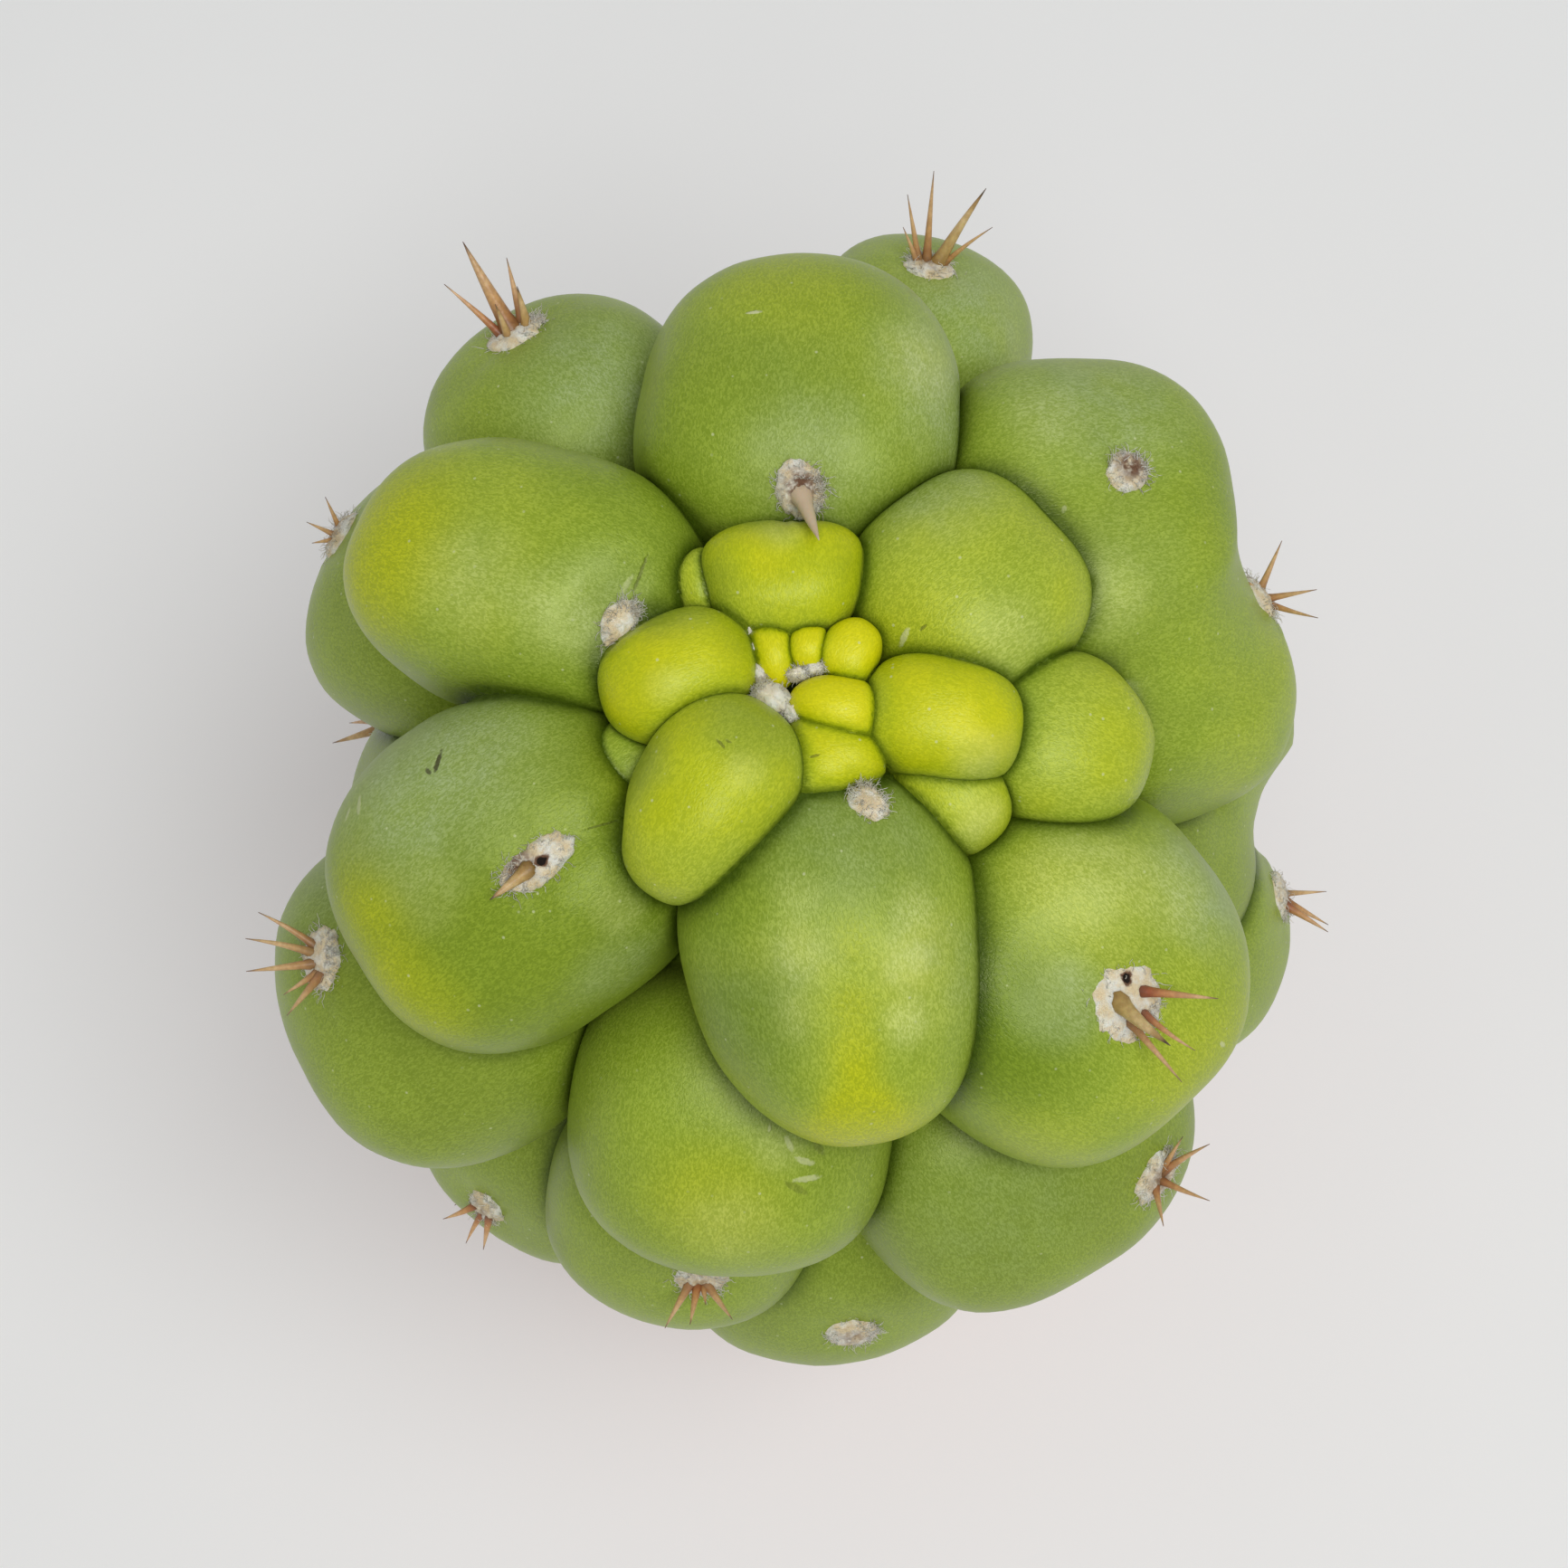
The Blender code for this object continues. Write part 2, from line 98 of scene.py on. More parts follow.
def node(tree, kind, inputs=None, **settings):
    """Add a shader node, set it up, and link or fill its inputs."""
    made = tree.nodes.new(kind)
    for name, value in settings.items():
        setattr(made, name, value)
    fill(tree, made, inputs or {})
    return made


def level(tree, value, low, high, to_low=0.0, to_high=1.0, kind="SMOOTHSTEP"):
    """Carry a value from one pair of limits over to another, from 0 to 1 unless told otherwise."""
    limits = {"Value": value, "From Min": low, "From Max": high, "To Min": to_low, "To Max": to_high}
    return node(tree, "ShaderNodeMapRange", limits, interpolation_type=kind).outputs["Result"]


def noise_node(tree, place, scale, detail, **more):
    return node(tree, "ShaderNodeTexNoise", {"Vector": place, "Scale": scale, "Detail": detail, **more})


def mottle_group():
    """Soft irregular patches: noise at a scale, pushed apart between two levels into a mask from 0 to 1."""
    group = bpy.data.node_groups.new("mottle", "ShaderNodeTree")
    group.interface.new_socket("Vector", in_out="INPUT", socket_type="NodeSocketVector")
    for label in ("Scale", "Low", "High"):
        group.interface.new_socket(label, in_out="INPUT", socket_type="NodeSocketFloat")
    group.interface.new_socket("Mask", in_out="OUTPUT", socket_type="NodeSocketFloat")
    entry = group.nodes.new("NodeGroupInput").outputs
    cloud = noise_node(group, entry["Vector"], entry["Scale"], MOTTLE_DETAIL).outputs["Fac"]
    node(group, "NodeGroupOutput", {"Mask": level(group, cloud, entry["Low"], entry["High"])})


def mottle(tree, place, scale, low, high):
    """Place the mottle group in a material with its own scale and levels."""
    mask = node(tree, "ShaderNodeGroup", node_tree=bpy.data.node_groups["mottle"])
    fill(tree, mask, {"Vector": place, "Scale": scale, "Low": low, "High": high})
    return mask.outputs["Mask"]


def blend(tree, factor, first, second, kind="MIX"):
    """Mix two colours, each a socket or a plain colour, by a factor."""
    mixed = node(tree, "ShaderNodeMix", data_type="RGBA", blend_type=kind)
    first, second = (value if isinstance(value, bpy.types.NodeSocket) else (*value, 1.0) for value in (first, second))
    fill(tree, mixed, {MIX_FACTOR: factor, MIX_FIRST: first, MIX_SECOND: second})
    return mixed.outputs[MIX_RESULT]


def tinted(tree, colour, tint):
    return blend(tree, 1.0, colour, tint, "MULTIPLY")


def math_node(tree, operation, first, second=0.0, clamp=False):
    return node(tree, "ShaderNodeMath", {0: first, 1: second}, operation=operation, use_clamp=clamp).outputs[0]


def times(tree, first, second, clamp=False):
    return math_node(tree, "MULTIPLY", first, second, clamp)


def mapped(tree, place, scale):
    """A place scaled along each axis by a factor."""
    return node(tree, "ShaderNodeMapping", {"Vector": place, "Scale": scale}).outputs["Vector"]


def new_material(name):
    material = bpy.data.materials.new(name)
    material.use_nodes = True
    tree = material.node_tree
    return material, tree, tree.nodes["Principled BSDF"]


def object_place(tree):
    return node(tree, "ShaderNodeTexCoord").outputs["Object"]


def bump(tree, height, distance, strength=1.0, below=None):
    made = node(tree, "ShaderNodeBump", {"Height": height, "Distance": distance, "Strength": strength})
    if below:
        tree.links.new(below, made.inputs["Normal"])
    return made.outputs["Normal"]


def terracotta():
    material, tree, shader = new_material("terracotta")
    place = object_place(tree)
    colour = blend(tree, mottle(tree, place, 55.0, 0.35, 0.68), CLAY_RED, CLAY_PALE)
    colour = blend(tree, times(tree, mottle(tree, place, 420.0, 0.52, 0.80), 0.45), colour, CLAY_DARK)
    grain = node(tree, "ShaderNodeTexVoronoi", {"Vector": place, "Scale": 1500.0}).outputs["Distance"]
    colour = blend(tree, level(tree, grain, 0.05, 0.22, kind="LINEAR"), CLAY_PALE, colour)
    height = node(tree, "ShaderNodeSeparateXYZ", {"Vector": place}).outputs["Z"]
    damp = level(tree, height, POT_HEIGHT * SALT_TOP, POT_HEIGHT * SALT_FULL, kind="LINEAR")
    salty = times(tree, damp, mottle(tree, place, 120.0, 0.44, 0.72))
    colour = blend(tree, times(tree, salty, 0.62), colour, SALT_WHITE)
    rough = level(tree, salty, 0.0, 1.0, 0.80, 0.95, "LINEAR")
    rings = noise_node(tree, mapped(tree, place, (60.0, 60.0, 1400.0)), 1.0, 2.0).outputs["Fac"]
    relief = bump(tree, grain, 0.12 * MM, 0.7, bump(tree, rings, 0.15 * MM))
    fill(tree, shader, {"Base Color": colour, "Roughness": rough, "Specular IOR Level": 0.25, "Normal": relief})
    return material


def placed(name, data):
    """Make an object of the data and put it in the scene."""
    made = bpy.data.objects.new(name, data)
    bpy.context.scene.collection.objects.link(made)
    return made


def meshed(name, solid, materials=()):
    """Turn a bmesh into an object that has the materials."""
    mesh = bpy.data.meshes.new(name)
    solid.to_mesh(mesh)
    solid.free()
    for material in materials:
        mesh.materials.append(material)
    return placed(name, mesh)


def add_piece(name, solid, materials, node_names):
    """Make a finished piece from a bmesh, riding on the one body, in place of its nodes."""
    piece = meshed(name, solid, materials)
    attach(piece, "root")
    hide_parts(*node_names)


def spin_profile(outline, turns):
    """Turn an outline of (radius, height) points round the Z axis into a closed body."""
    solid = bmesh.new()
    corners = [solid.verts.new((radius, 0.0, height)) for radius, height in outline]
    edges = [solid.edges.new(pair) for pair in zip(corners, corners[1:])]
    if outline[0][0] > 0.0:
        edges.append(solid.edges.new((corners[-1], corners[0])))
    bmesh.ops.spin(
        solid, geom=corners + edges, cent=(0, 0, 0), axis=(0, 0, 1), angle=math.tau, steps=turns, use_merge=True
    )
    bmesh.ops.remove_doubles(solid, verts=solid.verts, dist=1e-6)
    bmesh.ops.recalc_face_normals(solid, faces=solid.faces)
    for face in solid.faces:
        face.smooth = True
    return solid


def inner_radius(height):
    foot = POT_FOOT_RADIUS - POT_WALL
    rim = POT_RIM_RADIUS - POT_WALL
    return foot + (rim - foot) * (height - POT_FLOOR) / (POT_HEIGHT - POT_FLOOR)


mottle_group()
underside = POT_HEIGHT - POT_RIM_HEIGHT
waist = POT_RIM_RADIUS - POT_RIM_STEP
pot = spin_profile([
    (DRAIN_RADIUS, 0.0),
    (POT_FOOT_RADIUS, 0.0),
    (waist, underside),
    (POT_RIM_RADIUS, underside + POT_EDGE),
    (POT_RIM_RADIUS, POT_HEIGHT),
    (inner_radius(POT_HEIGHT), POT_HEIGHT),
    (inner_radius(POT_FLOOR), POT_FLOOR),
    (DRAIN_RADIUS, POT_FLOOR),
], POT_TURNS)
turned_edges = [e for e in pot.edges if e.calc_face_angle(0.0) > TURNED_ANGLE]
bmesh.ops.bevel(
    pot, geom=turned_edges, offset=POT_EDGE, segments=4, profile=0.5, affect="EDGES", material=-1, clamp_overlap=True
)
uprights = [e for e in pot.edges if abs(e.verts[0].co.z - e.verts[1].co.z) > 4 * POT_EDGE]
bmesh.ops.subdivide_edges(pot, edges=uprights, cuts=WALL_RINGS, use_grid_fill=True)
for vertex in pot.verts:
    x, y, z = vertex.co
    outward = Vector((x, y, 0.0)).normalized()
    turning = math.sin(z * RING_RATE + 1.4 * math.sin(z * DRIFT_RATE))
    turning += 0.6 * noise.noise(Vector((x * 40, y * 40, z * 900)))
    vertex.co += outward * turning * RING_DEPTH
    vertex.co += outward * noise.noise(vertex.co * WARP_SCALE) * WARP_DEPTH * MM
add_piece("thrown_pot", pot, [terracotta()], ["clay_pot"])

# --- Potting mix ---
# Dark crumbly bark and peat, pressed into the pot round the roots. It fills the pot up to the grit and shows only in
# the drainage hole and at the pot's edge, and it has a socket for the stem's rooted end.

MIX_DARK = (0.030, 0.019, 0.012)
MIX_BARK = (0.115, 0.062, 0.034)
BARK_CHIP = (0.21, 0.12, 0.07)
MIX_STEPS = 72
MIX_ROUGHNESS = 0.35 * MM

mix_low, mix_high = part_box("potting_mix")


def crumbly_mix():
    material, tree, shader = new_material("crumbly_mix")
    place = object_place(tree)
    crumbs = node(tree, "ShaderNodeTexVoronoi", {"Vector": place, "Scale": 620.0, "Randomness": 1.0}).outputs
    colour = blend(tree, mottle(tree, place, 260.0, 0.40, 0.66), MIX_DARK, MIX_BARK)
    chosen = node(tree, "ShaderNodeSeparateColor", {"Color": crumbs["Color"]}).outputs["Red"]
    chips = times(tree, math_node(tree, "GREATER_THAN", chosen, 0.82), 0.7)
    colour = blend(tree, chips, colour, BARK_CHIP)
    relief = bump(tree, crumbs["Distance"], 1.2 * MM)
    fill(tree, shader, {"Base Color": colour, "Roughness": 0.95, "Normal": relief})
    return material


root_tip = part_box("cactus_stem")[0][2]
NECK_RADIUS = 29.0 * MM
ROOT_GAP = 0.5 * MM
ROOTED_SHARE = 2 / 3


def radians(*angles):
    return [math.radians(angle) for angle in angles]


def rooted_end(spare):
    """Outline of the stem's rounded lower end, from its tip up to the neck, grown by spare."""
    shoulder = root_tip + (mix_high[2] - root_tip) * ROOTED_SHARE
    steps = radians(*range(90, -1, -10))
    rounded = [(NECK_RADIUS + spare) * math.cos(step) for step in steps]
    rounded[0] = 0.0
    heights = [shoulder - (shoulder - root_tip + spare) * math.sin(step) for step in steps]
    return list(zip(rounded, heights))


mix_gap = inner_radius(mix_high[2]) - mix_high[0]
mix_corner = mix_low[2] + 2 * POT_EDGE
mix = spin_profile([
    (0.0, mix_low[2]),
    (inner_radius(mix_low[2]) - mix_gap - 2 * POT_EDGE, mix_low[2]),
    (inner_radius(mix_corner) - mix_gap, mix_corner),
    (mix_high[0], mix_high[2]),
    (NECK_RADIUS + ROOT_GAP, mix_high[2]),
] + rooted_end(ROOT_GAP)[::-1], MIX_STEPS)
long_edges = [e for e in mix.edges if e.calc_length() > 5 * MM]
bmesh.ops.subdivide_edges(mix, edges=long_edges, cuts=7, use_grid_fill=True)
for vertex in mix.verts:
    lump = noise.noise(vertex.co * 300.0) - 0.6
    vertex.co += Vector((vertex.co.x, vertex.co.y, 0.0)).normalized() * min(lump, 0.0) * MIX_ROUGHNESS
add_piece("pressed_mix", mix, [crumbly_mix()], ["potting_mix"])

# --- Grit top dressing ---
# Pale crushed stone, 2 to 4 mm, spread over the mix round the neck so that the neck stays dry. A bed of packed grains
# lies under several hundred loose ones, each with its own size, facets and tint.

GRAIN_COUNT = 760
GRAIN_SIZES = (0.9 * MM, 1.9 * MM)
GRAIN_TINTS = ((0.50, 0.45, 0.38), (0.62, 0.57, 0.50), (0.40, 0.36, 0.31), (0.56, 0.44, 0.33), (0.30, 0.29, 0.28))
STONE_PALE = (0.70, 0.66, 0.58)
STONE_SPECK = (0.16, 0.14, 0.12)
BED_STEPS = 80
BED_DROP = 0.9 * MM

grit_low, grit_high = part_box("grit_top_dressing")
GRIT_TOP = grit_high[2]


def crushed_stone():
    material, tree, shader = new_material("crushed_stone")
    place = object_place(tree)
    tint = node(tree, "ShaderNodeAttribute", attribute_name="grain_tint").outputs["Color"]
    colour = blend(tree, mottle(tree, place, 900.0, 0.40, 0.70), tint, STONE_PALE)
    colour = blend(tree, mottle(tree, place, 2600.0, 0.56, 0.70), colour, STONE_SPECK)
    pits = noise_node(tree, place, 2400.0, 3.0).outputs["Fac"]
    fill(tree, shader, {"Base Color": colour, "Roughness": 0.82, "Normal": bump(tree, pits, 0.12 * MM)})
    return material


def tint_faces(solid, faces, tint):
    layer = solid.loops.layers.float_color.get("grain_tint") or solid.loops.layers.float_color.new("grain_tint")
    for face in faces:
        for loop in face.loops:
            loop[layer] = (*tint, 1.0)


chance = random.Random(11)
bed_top = GRIT_TOP - BED_DROP
grit = spin_profile([
    (NECK_RADIUS + ROOT_GAP, grit_low[2]),
    (inner_radius(grit_low[2]) - mix_gap, grit_low[2]),
    (inner_radius(bed_top) - mix_gap, bed_top),
    (NECK_RADIUS + ROOT_GAP, bed_top),
], BED_STEPS)
across_bed = [e for e in grit.edges if e.calc_length() > 6 * MM]
bmesh.ops.subdivide_edges(grit, edges=across_bed, cuts=11, use_grid_fill=True)
for vertex in grit.verts:
    if vertex.co.z > bed_top - 0.1 * MM:
        vertex.co.z += noise.noise(vertex.co * 420.0) * 0.5 * MM
tint_faces(grit, grit.faces, GRAIN_TINTS[2])
for number in range(GRAIN_COUNT):
    size = chance.uniform(*GRAIN_SIZES)
    inner_edge = NECK_RADIUS + ROOT_GAP + size
    outer_edge = inner_radius(bed_top) - mix_gap - size
    radius = math.sqrt(chance.uniform(inner_edge ** 2, outer_edge ** 2))
    angle = chance.uniform(0, math.tau)
    lies_at = bed_top + size * chance.uniform(-0.25, 0.35)
    grain = bmesh.ops.create_icosphere(grit, subdivisions=1, radius=size)["verts"]
    squash = Matrix.Diagonal((1.0, chance.uniform(0.65, 0.95), chance.uniform(0.55, 0.85), 1.0))
    angle_turned = chance.uniform(0, math.tau)
    spin = Matrix.Rotation(angle_turned, 4, Vector((chance.random(), chance.random(), 0.3)).normalized())
    where = Matrix.Translation((radius * math.cos(angle), radius * math.sin(angle), lies_at))
    for vertex in grain:
        vertex.co *= chance.uniform(0.78, 1.12)
    bmesh.ops.transform(grit, matrix=where @ spin @ squash, verts=grain)
    tint_faces(grit, {face for vertex in grain for face in vertex.link_faces}, chance.choice(GRAIN_TINTS))
add_piece("loose_grit", grit, [crushed_stone()], ["grit_top_dressing"])

# --- Stem ---
# One swollen stem, grown as a crowd of rounded knobs round a core. The youngest are lime yellow at the crown and the
# oldest grey green, and each presses into its neighbours. Waxy skin, with a puckered grain, a bloom and corky scars;
# its colour also carries painted shade in the creases and on some sides, and painted highlights.

PLANT_HEIGHT = 136.0 * MM
PLANT_AXIS = (-1.7 * MM, -2.0 * MM)
CROWN_Z = GRIT_TOP + PLANT_HEIGHT
CORE_RADIUS = 36.0
CORE_TOP_DROP = 16.0
SQUARENESS = 2.35
LEAST_WIDENING = 0.3
SKIRT_CLEARANCE = 3.0

Knob = namedtuple("Knob", "bearing reach drop heading dip long wide deep egg ripe square")

# Places and half sizes in millimetres and degrees, as bearing and reach from the stem's axis, drop below the crown,
# heading and dip of the long axis, long, wide and deep half sizes, egg shape, ripeness of the green, and squareness.
KNOBS = {
    "bud_1": (114, 5.2, 7.0, 104, 0, 3.9, 2.5, 3.0, 0.10, 0.03, 2.05),
    "bud_2": (74, 5.1, 6.5, 80, 0, 2.5, 2.35, 2.7, 0.0, 0.0, 2.2),
    "bud_3": (41, 7.1, 6.7, 50, 0, 3.4, 3.0, 3.2, -0.20, 0.07, 2.6),
    "bud_4": (-16, 4.2, 6.0, -12, 0, 4.8, 3.3, 3.4, 0.14, 0.0, 2.1),
    "bud_5": (-60, 6.9, 7.5, -5, 0, 5.6, 4.6, 4.5, -0.28, 0.12, 2.2),
    "young_north": (95, 11.9, 8.0, 94, 5, 6.2, 8.0, 6.0, 0.17, 0.17, 2.5),
    "young_east": (-7, 14.2, 8.5, -12, 8, 8.2, 6.4, 6.5, 0.0, 0.12),
    "young_south_east": (-28, 17.0, 12.5, -55, 10, 6.4, 5.5, 6.0, 0.0, 0.18),
    "young_west": (166, 11.5, 7.5, 196, 5, 8.0, 6.4, 6.5, 0.1, 0.21),
    "young_south_west": (-129, 12.8, 7.0, 237, 10, 10.8, 7.6, 8.0, -0.12, 0.29),
    "young_north_west": (126, 15.0, 11.0, 120, 0, 4.0, 3.5, 5.0, 0.0, 0.36),
    "young_far_west": (-162, 17.0, 13.0, 215, 0, 4.5, 4.5, 5.0, 0.0, 0.55),
    "young_far_east": (-5, 26.4, 15.0, -12, 15, 9.0, 9.0, 8.0, 0.0, 0.40),
    "crown_north_east": (36, 20.9, 13.0, 40, 12, 12.0, 11.6, 10.0, 0.0, 0.46),
    "crown_north": (89, 32.5, 18.0, 86, 22, 17.2, 16.4, 14.0, -0.08, 0.70),
    "crown_north_west": (151, 30.2, 18.0, 160, 18, 18.8, 13.6, 13.5, -0.05, 0.66, 2.5),
    "crown_west": (-154, 30.8, 22.0, 212, 22, 18.4, 17.0, 15.0, 0.0, 0.84, 2.5),
    "crown_south": (-80, 23.5, 17.0, -78, 20, 18.7, 14.8, 14.0, -0.08, 0.60),
    "crown_east": (37, 36.0, 26.0, 10, 25, 16.8, 18.6, 15.0, 0.0, 0.68, 2.7),
    "crown_far_east": (14, 37.0, 34.0, 14, 42, 18.0, 15.0, 14.0, 0.0, 0.66, 2.4),
    "crown_south_east": (-41, 35.2, 27.0, -42, 30, 18.5, 18.5, 15.0, 0.0, 0.62, 2.4),
    "shoulder_1": (75, 50.0, 44.0, 73, 50, 16.0, 13.0, 13.0, 0.0, 0.72),
    "shoulder_2": (98, 43.0, 50.0, 98, 60, 17.0, 15.0, 12.0, 0.0, 0.85),
    "shoulder_3": (123, 44.5, 36.0, 128, 45, 15.0, 15.0, 13.0, 0.0, 0.78),
    "shoulder_4": (150, 43.2, 48.0, 158, 50, 18.0, 16.0, 13.0, 0.0, 0.78),
    "shoulder_5": (180, 36.5, 62.0, 180, 70, 18.0, 16.0, 13.0, 0.0, 0.90),
    "shoulder_6": (-150, 43.0, 46.0, 206, 40, 18.0, 18.5, 15.0, 0.0, 0.88),
    "shoulder_7": (-100, 36.0, 40.0, -98, 40, 17.0, 17.0, 15.0, 0.0, 0.74),
    "shoulder_8": (-57, 43.6, 51.0, -57, 45, 18.0, 19.5, 14.0, 0.0, 0.86),
    "shoulder_9": (-8, 37.0, 56.0, -10, 60, 18.0, 14.0, 13.0, 0.0, 0.80),
    "shoulder_10": (18, 43.0, 52.0, 15, 55, 18.0, 16.0, 12.0, 0.0, 0.75),
    "shoulder_11": (46, 41.0, 58.0, 46, 65, 18.0, 16.0, 13.0, 0.0, 0.86),
    "flank_1": (84, 40.0, 82.0, 84, 78, 18.0, 18.0, 13.0, 0.0, 0.92),
    "flank_2": (124, 39.0, 76.0, 124, 75, 18.0, 17.0, 14.0, 0.0, 0.88),
    "flank_3": (160, 40.0, 84.0, 160, 80, 17.0, 18.0, 12.5, 0.0, 0.95),
    "flank_4": (-166, 38.0, 90.0, 194, 82, 18.0, 16.0, 14.0, 0.0, 0.92),
    "flank_5": (-130, 42.0, 76.0, 230, 60, 18.0, 16.0, 12.0, 0.0, 0.80),
    "flank_6": (-106, 44.0, 62.0, -104, 60, 16.0, 15.0, 12.0, 0.0, 0.80),
    "flank_7": (-85, 45.0, 78.0, -84, 60, 18.0, 17.6, 12.0, 0.0, 0.84),
    "flank_8": (-48, 40.0, 84.0, -48, 75, 18.0, 17.0, 13.0, 0.0, 0.92),
    "flank_9": (-15, 44.5, 68.0, -16, 60, 16.0, 14.0, 12.0, 0.0, 0.74),
    "flank_10": (16, 39.5, 84.0, 16, 78, 18.0, 18.0, 13.0, 0.0, 0.90),
    "flank_11": (50, 39.0, 90.0, 50, 80, 17.0, 16.0, 13.5, 0.0, 0.94),
}
SKIRT_COUNT = 8
SKIRT_HALF_SIZES = (17.0, 19.0, 15.0)
SKIRT_REACH = 36.5
SKIRT_DIP = 88
SKIRT_VARIATION = 1.5
SKIRT_TURN_VARIATION = 6
GROWTH_SEED = 4
FINENESS = {"bud": 10, "young": 15, "crown": 20, "shoulder": 15, "flank": 13, "skirt": 12}

# Patches of colour on the knobs: the turn and lift from the knob's middle, the spread in degrees, and how much yellow
# glow, pale bloom and deep green each adds. The pale bloom is partly real bloom and partly painted highlight, and the
# deep green partly the skin's own darker green and partly painted shade on sides turned from the lamp.
PATCHES = {
    "crown_north_west": (
        (14, 43, 38, 0.95, 0.0, 0.0), (-147, 27, 40, 0.0, 0.0, 0.30), (128, 20, 32, 0.0, 0.0, 0.22),
        (166, 40, 20, 0.0, 0.35, 0.0),
    ),
    "crown_west": (
        (-26, 52, 18, 0.35, 0.0, 0.35), (0, 47, 22, 0.45, 0.0, 0.15), (32, 36, 22, 0.50, 0.0, 0.10),
        (-101, 51, 42, 0.0, 0.80, 0.0), (172, 12, 24, 0.35, 0.0, 0.20), (98, 62, 58, 0.05, 0.0, 0.60),
        (109, 20, 18, 0.0, 0.35, 0.0),
    ),
    "crown_south": (
        (167, 76, 9, 0.35, 0.0, 0.10), (-4, 79, 10, 0.50, 0.0, 0.25), (-6, 62, 11, 0.75, 0.0, 0.10),
        (-6, 46, 13, 0.80, 0.0, 0.0), (-5, 32, 16, 0.80, 0.0, 0.0), (-6, 20, 25, 0.95, 0.0, 0.0),
        (-78, 44, 32, 0.0, 0.20, 0.80), (80, 50, 30, 0.05, 0.30, -0.15), (165, 36, 34, 0.0, 0.35, 0.65),
        (104, 66, 16, 0.0, 0.25, -0.12), (-128, 70, 18, 0.0, 0.35, -0.15), (-134, 34, 20, 0.0, 0.0, 0.45),
    ),
    "crown_east": (
        (-7, 50, 34, 0.0, 0.0, 0.25), (99, 52, 36, 0.0, 0.60, 0.25), (-114, 62, 26, 0.0, 0.15, -0.10),
    ),
    "crown_south_east": (
        (158, 53, 36, 0.20, 0.15, -0.15), (-134, 67, 18, 0.0, 0.55, 0.0), (89, 37, 24, 0.0, 0.75, 0.0),
        (-122, 46, 34, 0.0, 0.0, 0.80), (-150, 38, 20, 0.0, 0.0, 0.50), (10, 35, 34, 0.45, 0.0, 0.0),
    ),
    "crown_north": (
        (10, 64, 34, 0.25, 0.0, 0.05), (-96, 32, 32, 0.0, 0.70, -0.15), (-172, 34, 26, 0.0, 0.45, 0.0),
        (127, 24, 34, 0.0, 0.0, 0.30), (-172, 62, 34, 0.0, 0.10, 0.38),
    ),
    "crown_north_east": (
        (-166, 26, 40, 0.60, 0.0, -0.05), (81, 45, 34, 0.0, 0.45, 0.15),
    ),
    "shoulder_3": (
        (-157, 36, 44, 0.0, 0.65, 0.45),
    ),
    "shoulder_7": (
        (-6, 84, 30, 0.50, 0.0, -0.05), (165, 40, 30, 0.0, 0.25, -0.10),
    ),
    "shoulder_1": (
        (-139, 52, 40, 0.0, 0.70, -0.10),
    ),
    "shoulder_6": (
        (-92, 32, 40, 0.0, 0.35, 0.20),
    ),
    "shoulder_8": (
        (-115, 60, 44, 0.0, 0.25, 0.32),
    ),
    "young_south_west": (
        (64, 74, 18, 0.60, 0.0, 0.0), (180, 34, 34, 0.0, 0.10, 0.42), (-84, 36, 28, 0.0, 0.15, 0.36),
        (92, 24, 26, 0.0, 0.0, 0.25),
    ),
    "young_west": (
        (-104, 42, 36, 0.0, 0.12, 0.38), (-172, 30, 28, 0.0, 0.0, 0.30), (92, 62, 28, 0.40, 0.0, 0.0),
    ),
    "young_north": (
        (4, 34, 36, 0.0, 0.25, 0.34), (96, 26, 28, 0.0, 0.0, 0.30), (-92, 26, 26, 0.0, 0.0, 0.26),
        (160, 66, 26, 0.30, 0.0, 0.0),
    ),
    "young_east": (
        (-36, 24, 34, 0.0, 0.25, 0.10), (104, 30, 30, 0.0, 0.0, 0.22),
    ),
    "young_south_east": (
        (-10, 30, 30, 0.0, 0.15, 0.05),
    ),
}
# Painted highlights: pale patches painted on the skin's colour where the lamp's reflection lies, with the turn, lift
# and spread in the same way, and how pale each is.
PAINTED_HIGHLIGHTS = {
    "crown_south": (
        (-160, 55, 9, 0.35), (-125, 69, 9, 0.45), (-66, 64, 9, 0.35), (124, 54, 10, 0.50), (94, 67, 10, 0.75),
        (40, 62, 10, 0.60),
    ),
    "crown_north_west": (
        (95, 72, 26, 0.45), (150, 48, 18, 0.35),
    ),
    "crown_west": (
        (133, 33, 10, 0.45), (4, 76, 16, 0.30),
    ),
    "crown_south_east": (
        (150, 46, 22, 0.40), (108, 49, 16, 0.35),
    ),
    "crown_east": (
        (-118, 50, 14, 0.45), (133, 48, 14, 0.30),
    ),
    "crown_north": (
        (-95, 40, 18, 0.40),
    ),
    "crown_north_east": (
        (-112, 44, 24, 0.45),
    ),
    "young_east": (
        (-50, 48, 22, 0.40),
    ),
    "young_south_east": (
        (10, 55, 26, 0.60),
    ),
    "young_south_west": (
        (150, 58, 14, 0.40),
    ),
    "young_west": (
        (60, 66, 18, 0.30),
    ),
    "young_north": (
        (0, 60, 22, 0.25),
    ),
    "shoulder_7": (
        (20, 72, 22, 0.35), (132, 62, 10, 0.40),
    ),
}


def knob_place(knob):
    """The matrix that takes a knob's own millimetres to its place in the plant."""
    bearing, heading, dip = radians(knob.bearing, knob.heading, knob.dip)
    x = PLANT_AXIS[0] + knob.reach * MM * math.cos(bearing)
    y = PLANT_AXIS[1] + knob.reach * MM * math.sin(bearing)
    place = Matrix.Translation((x, y, CROWN_Z - knob.drop * MM))
    turn = Matrix.Rotation(heading, 4, "Z") @ Matrix.Rotation(dip, 4, "Y")
    return place @ turn @ Matrix.Scale(MM, 4)


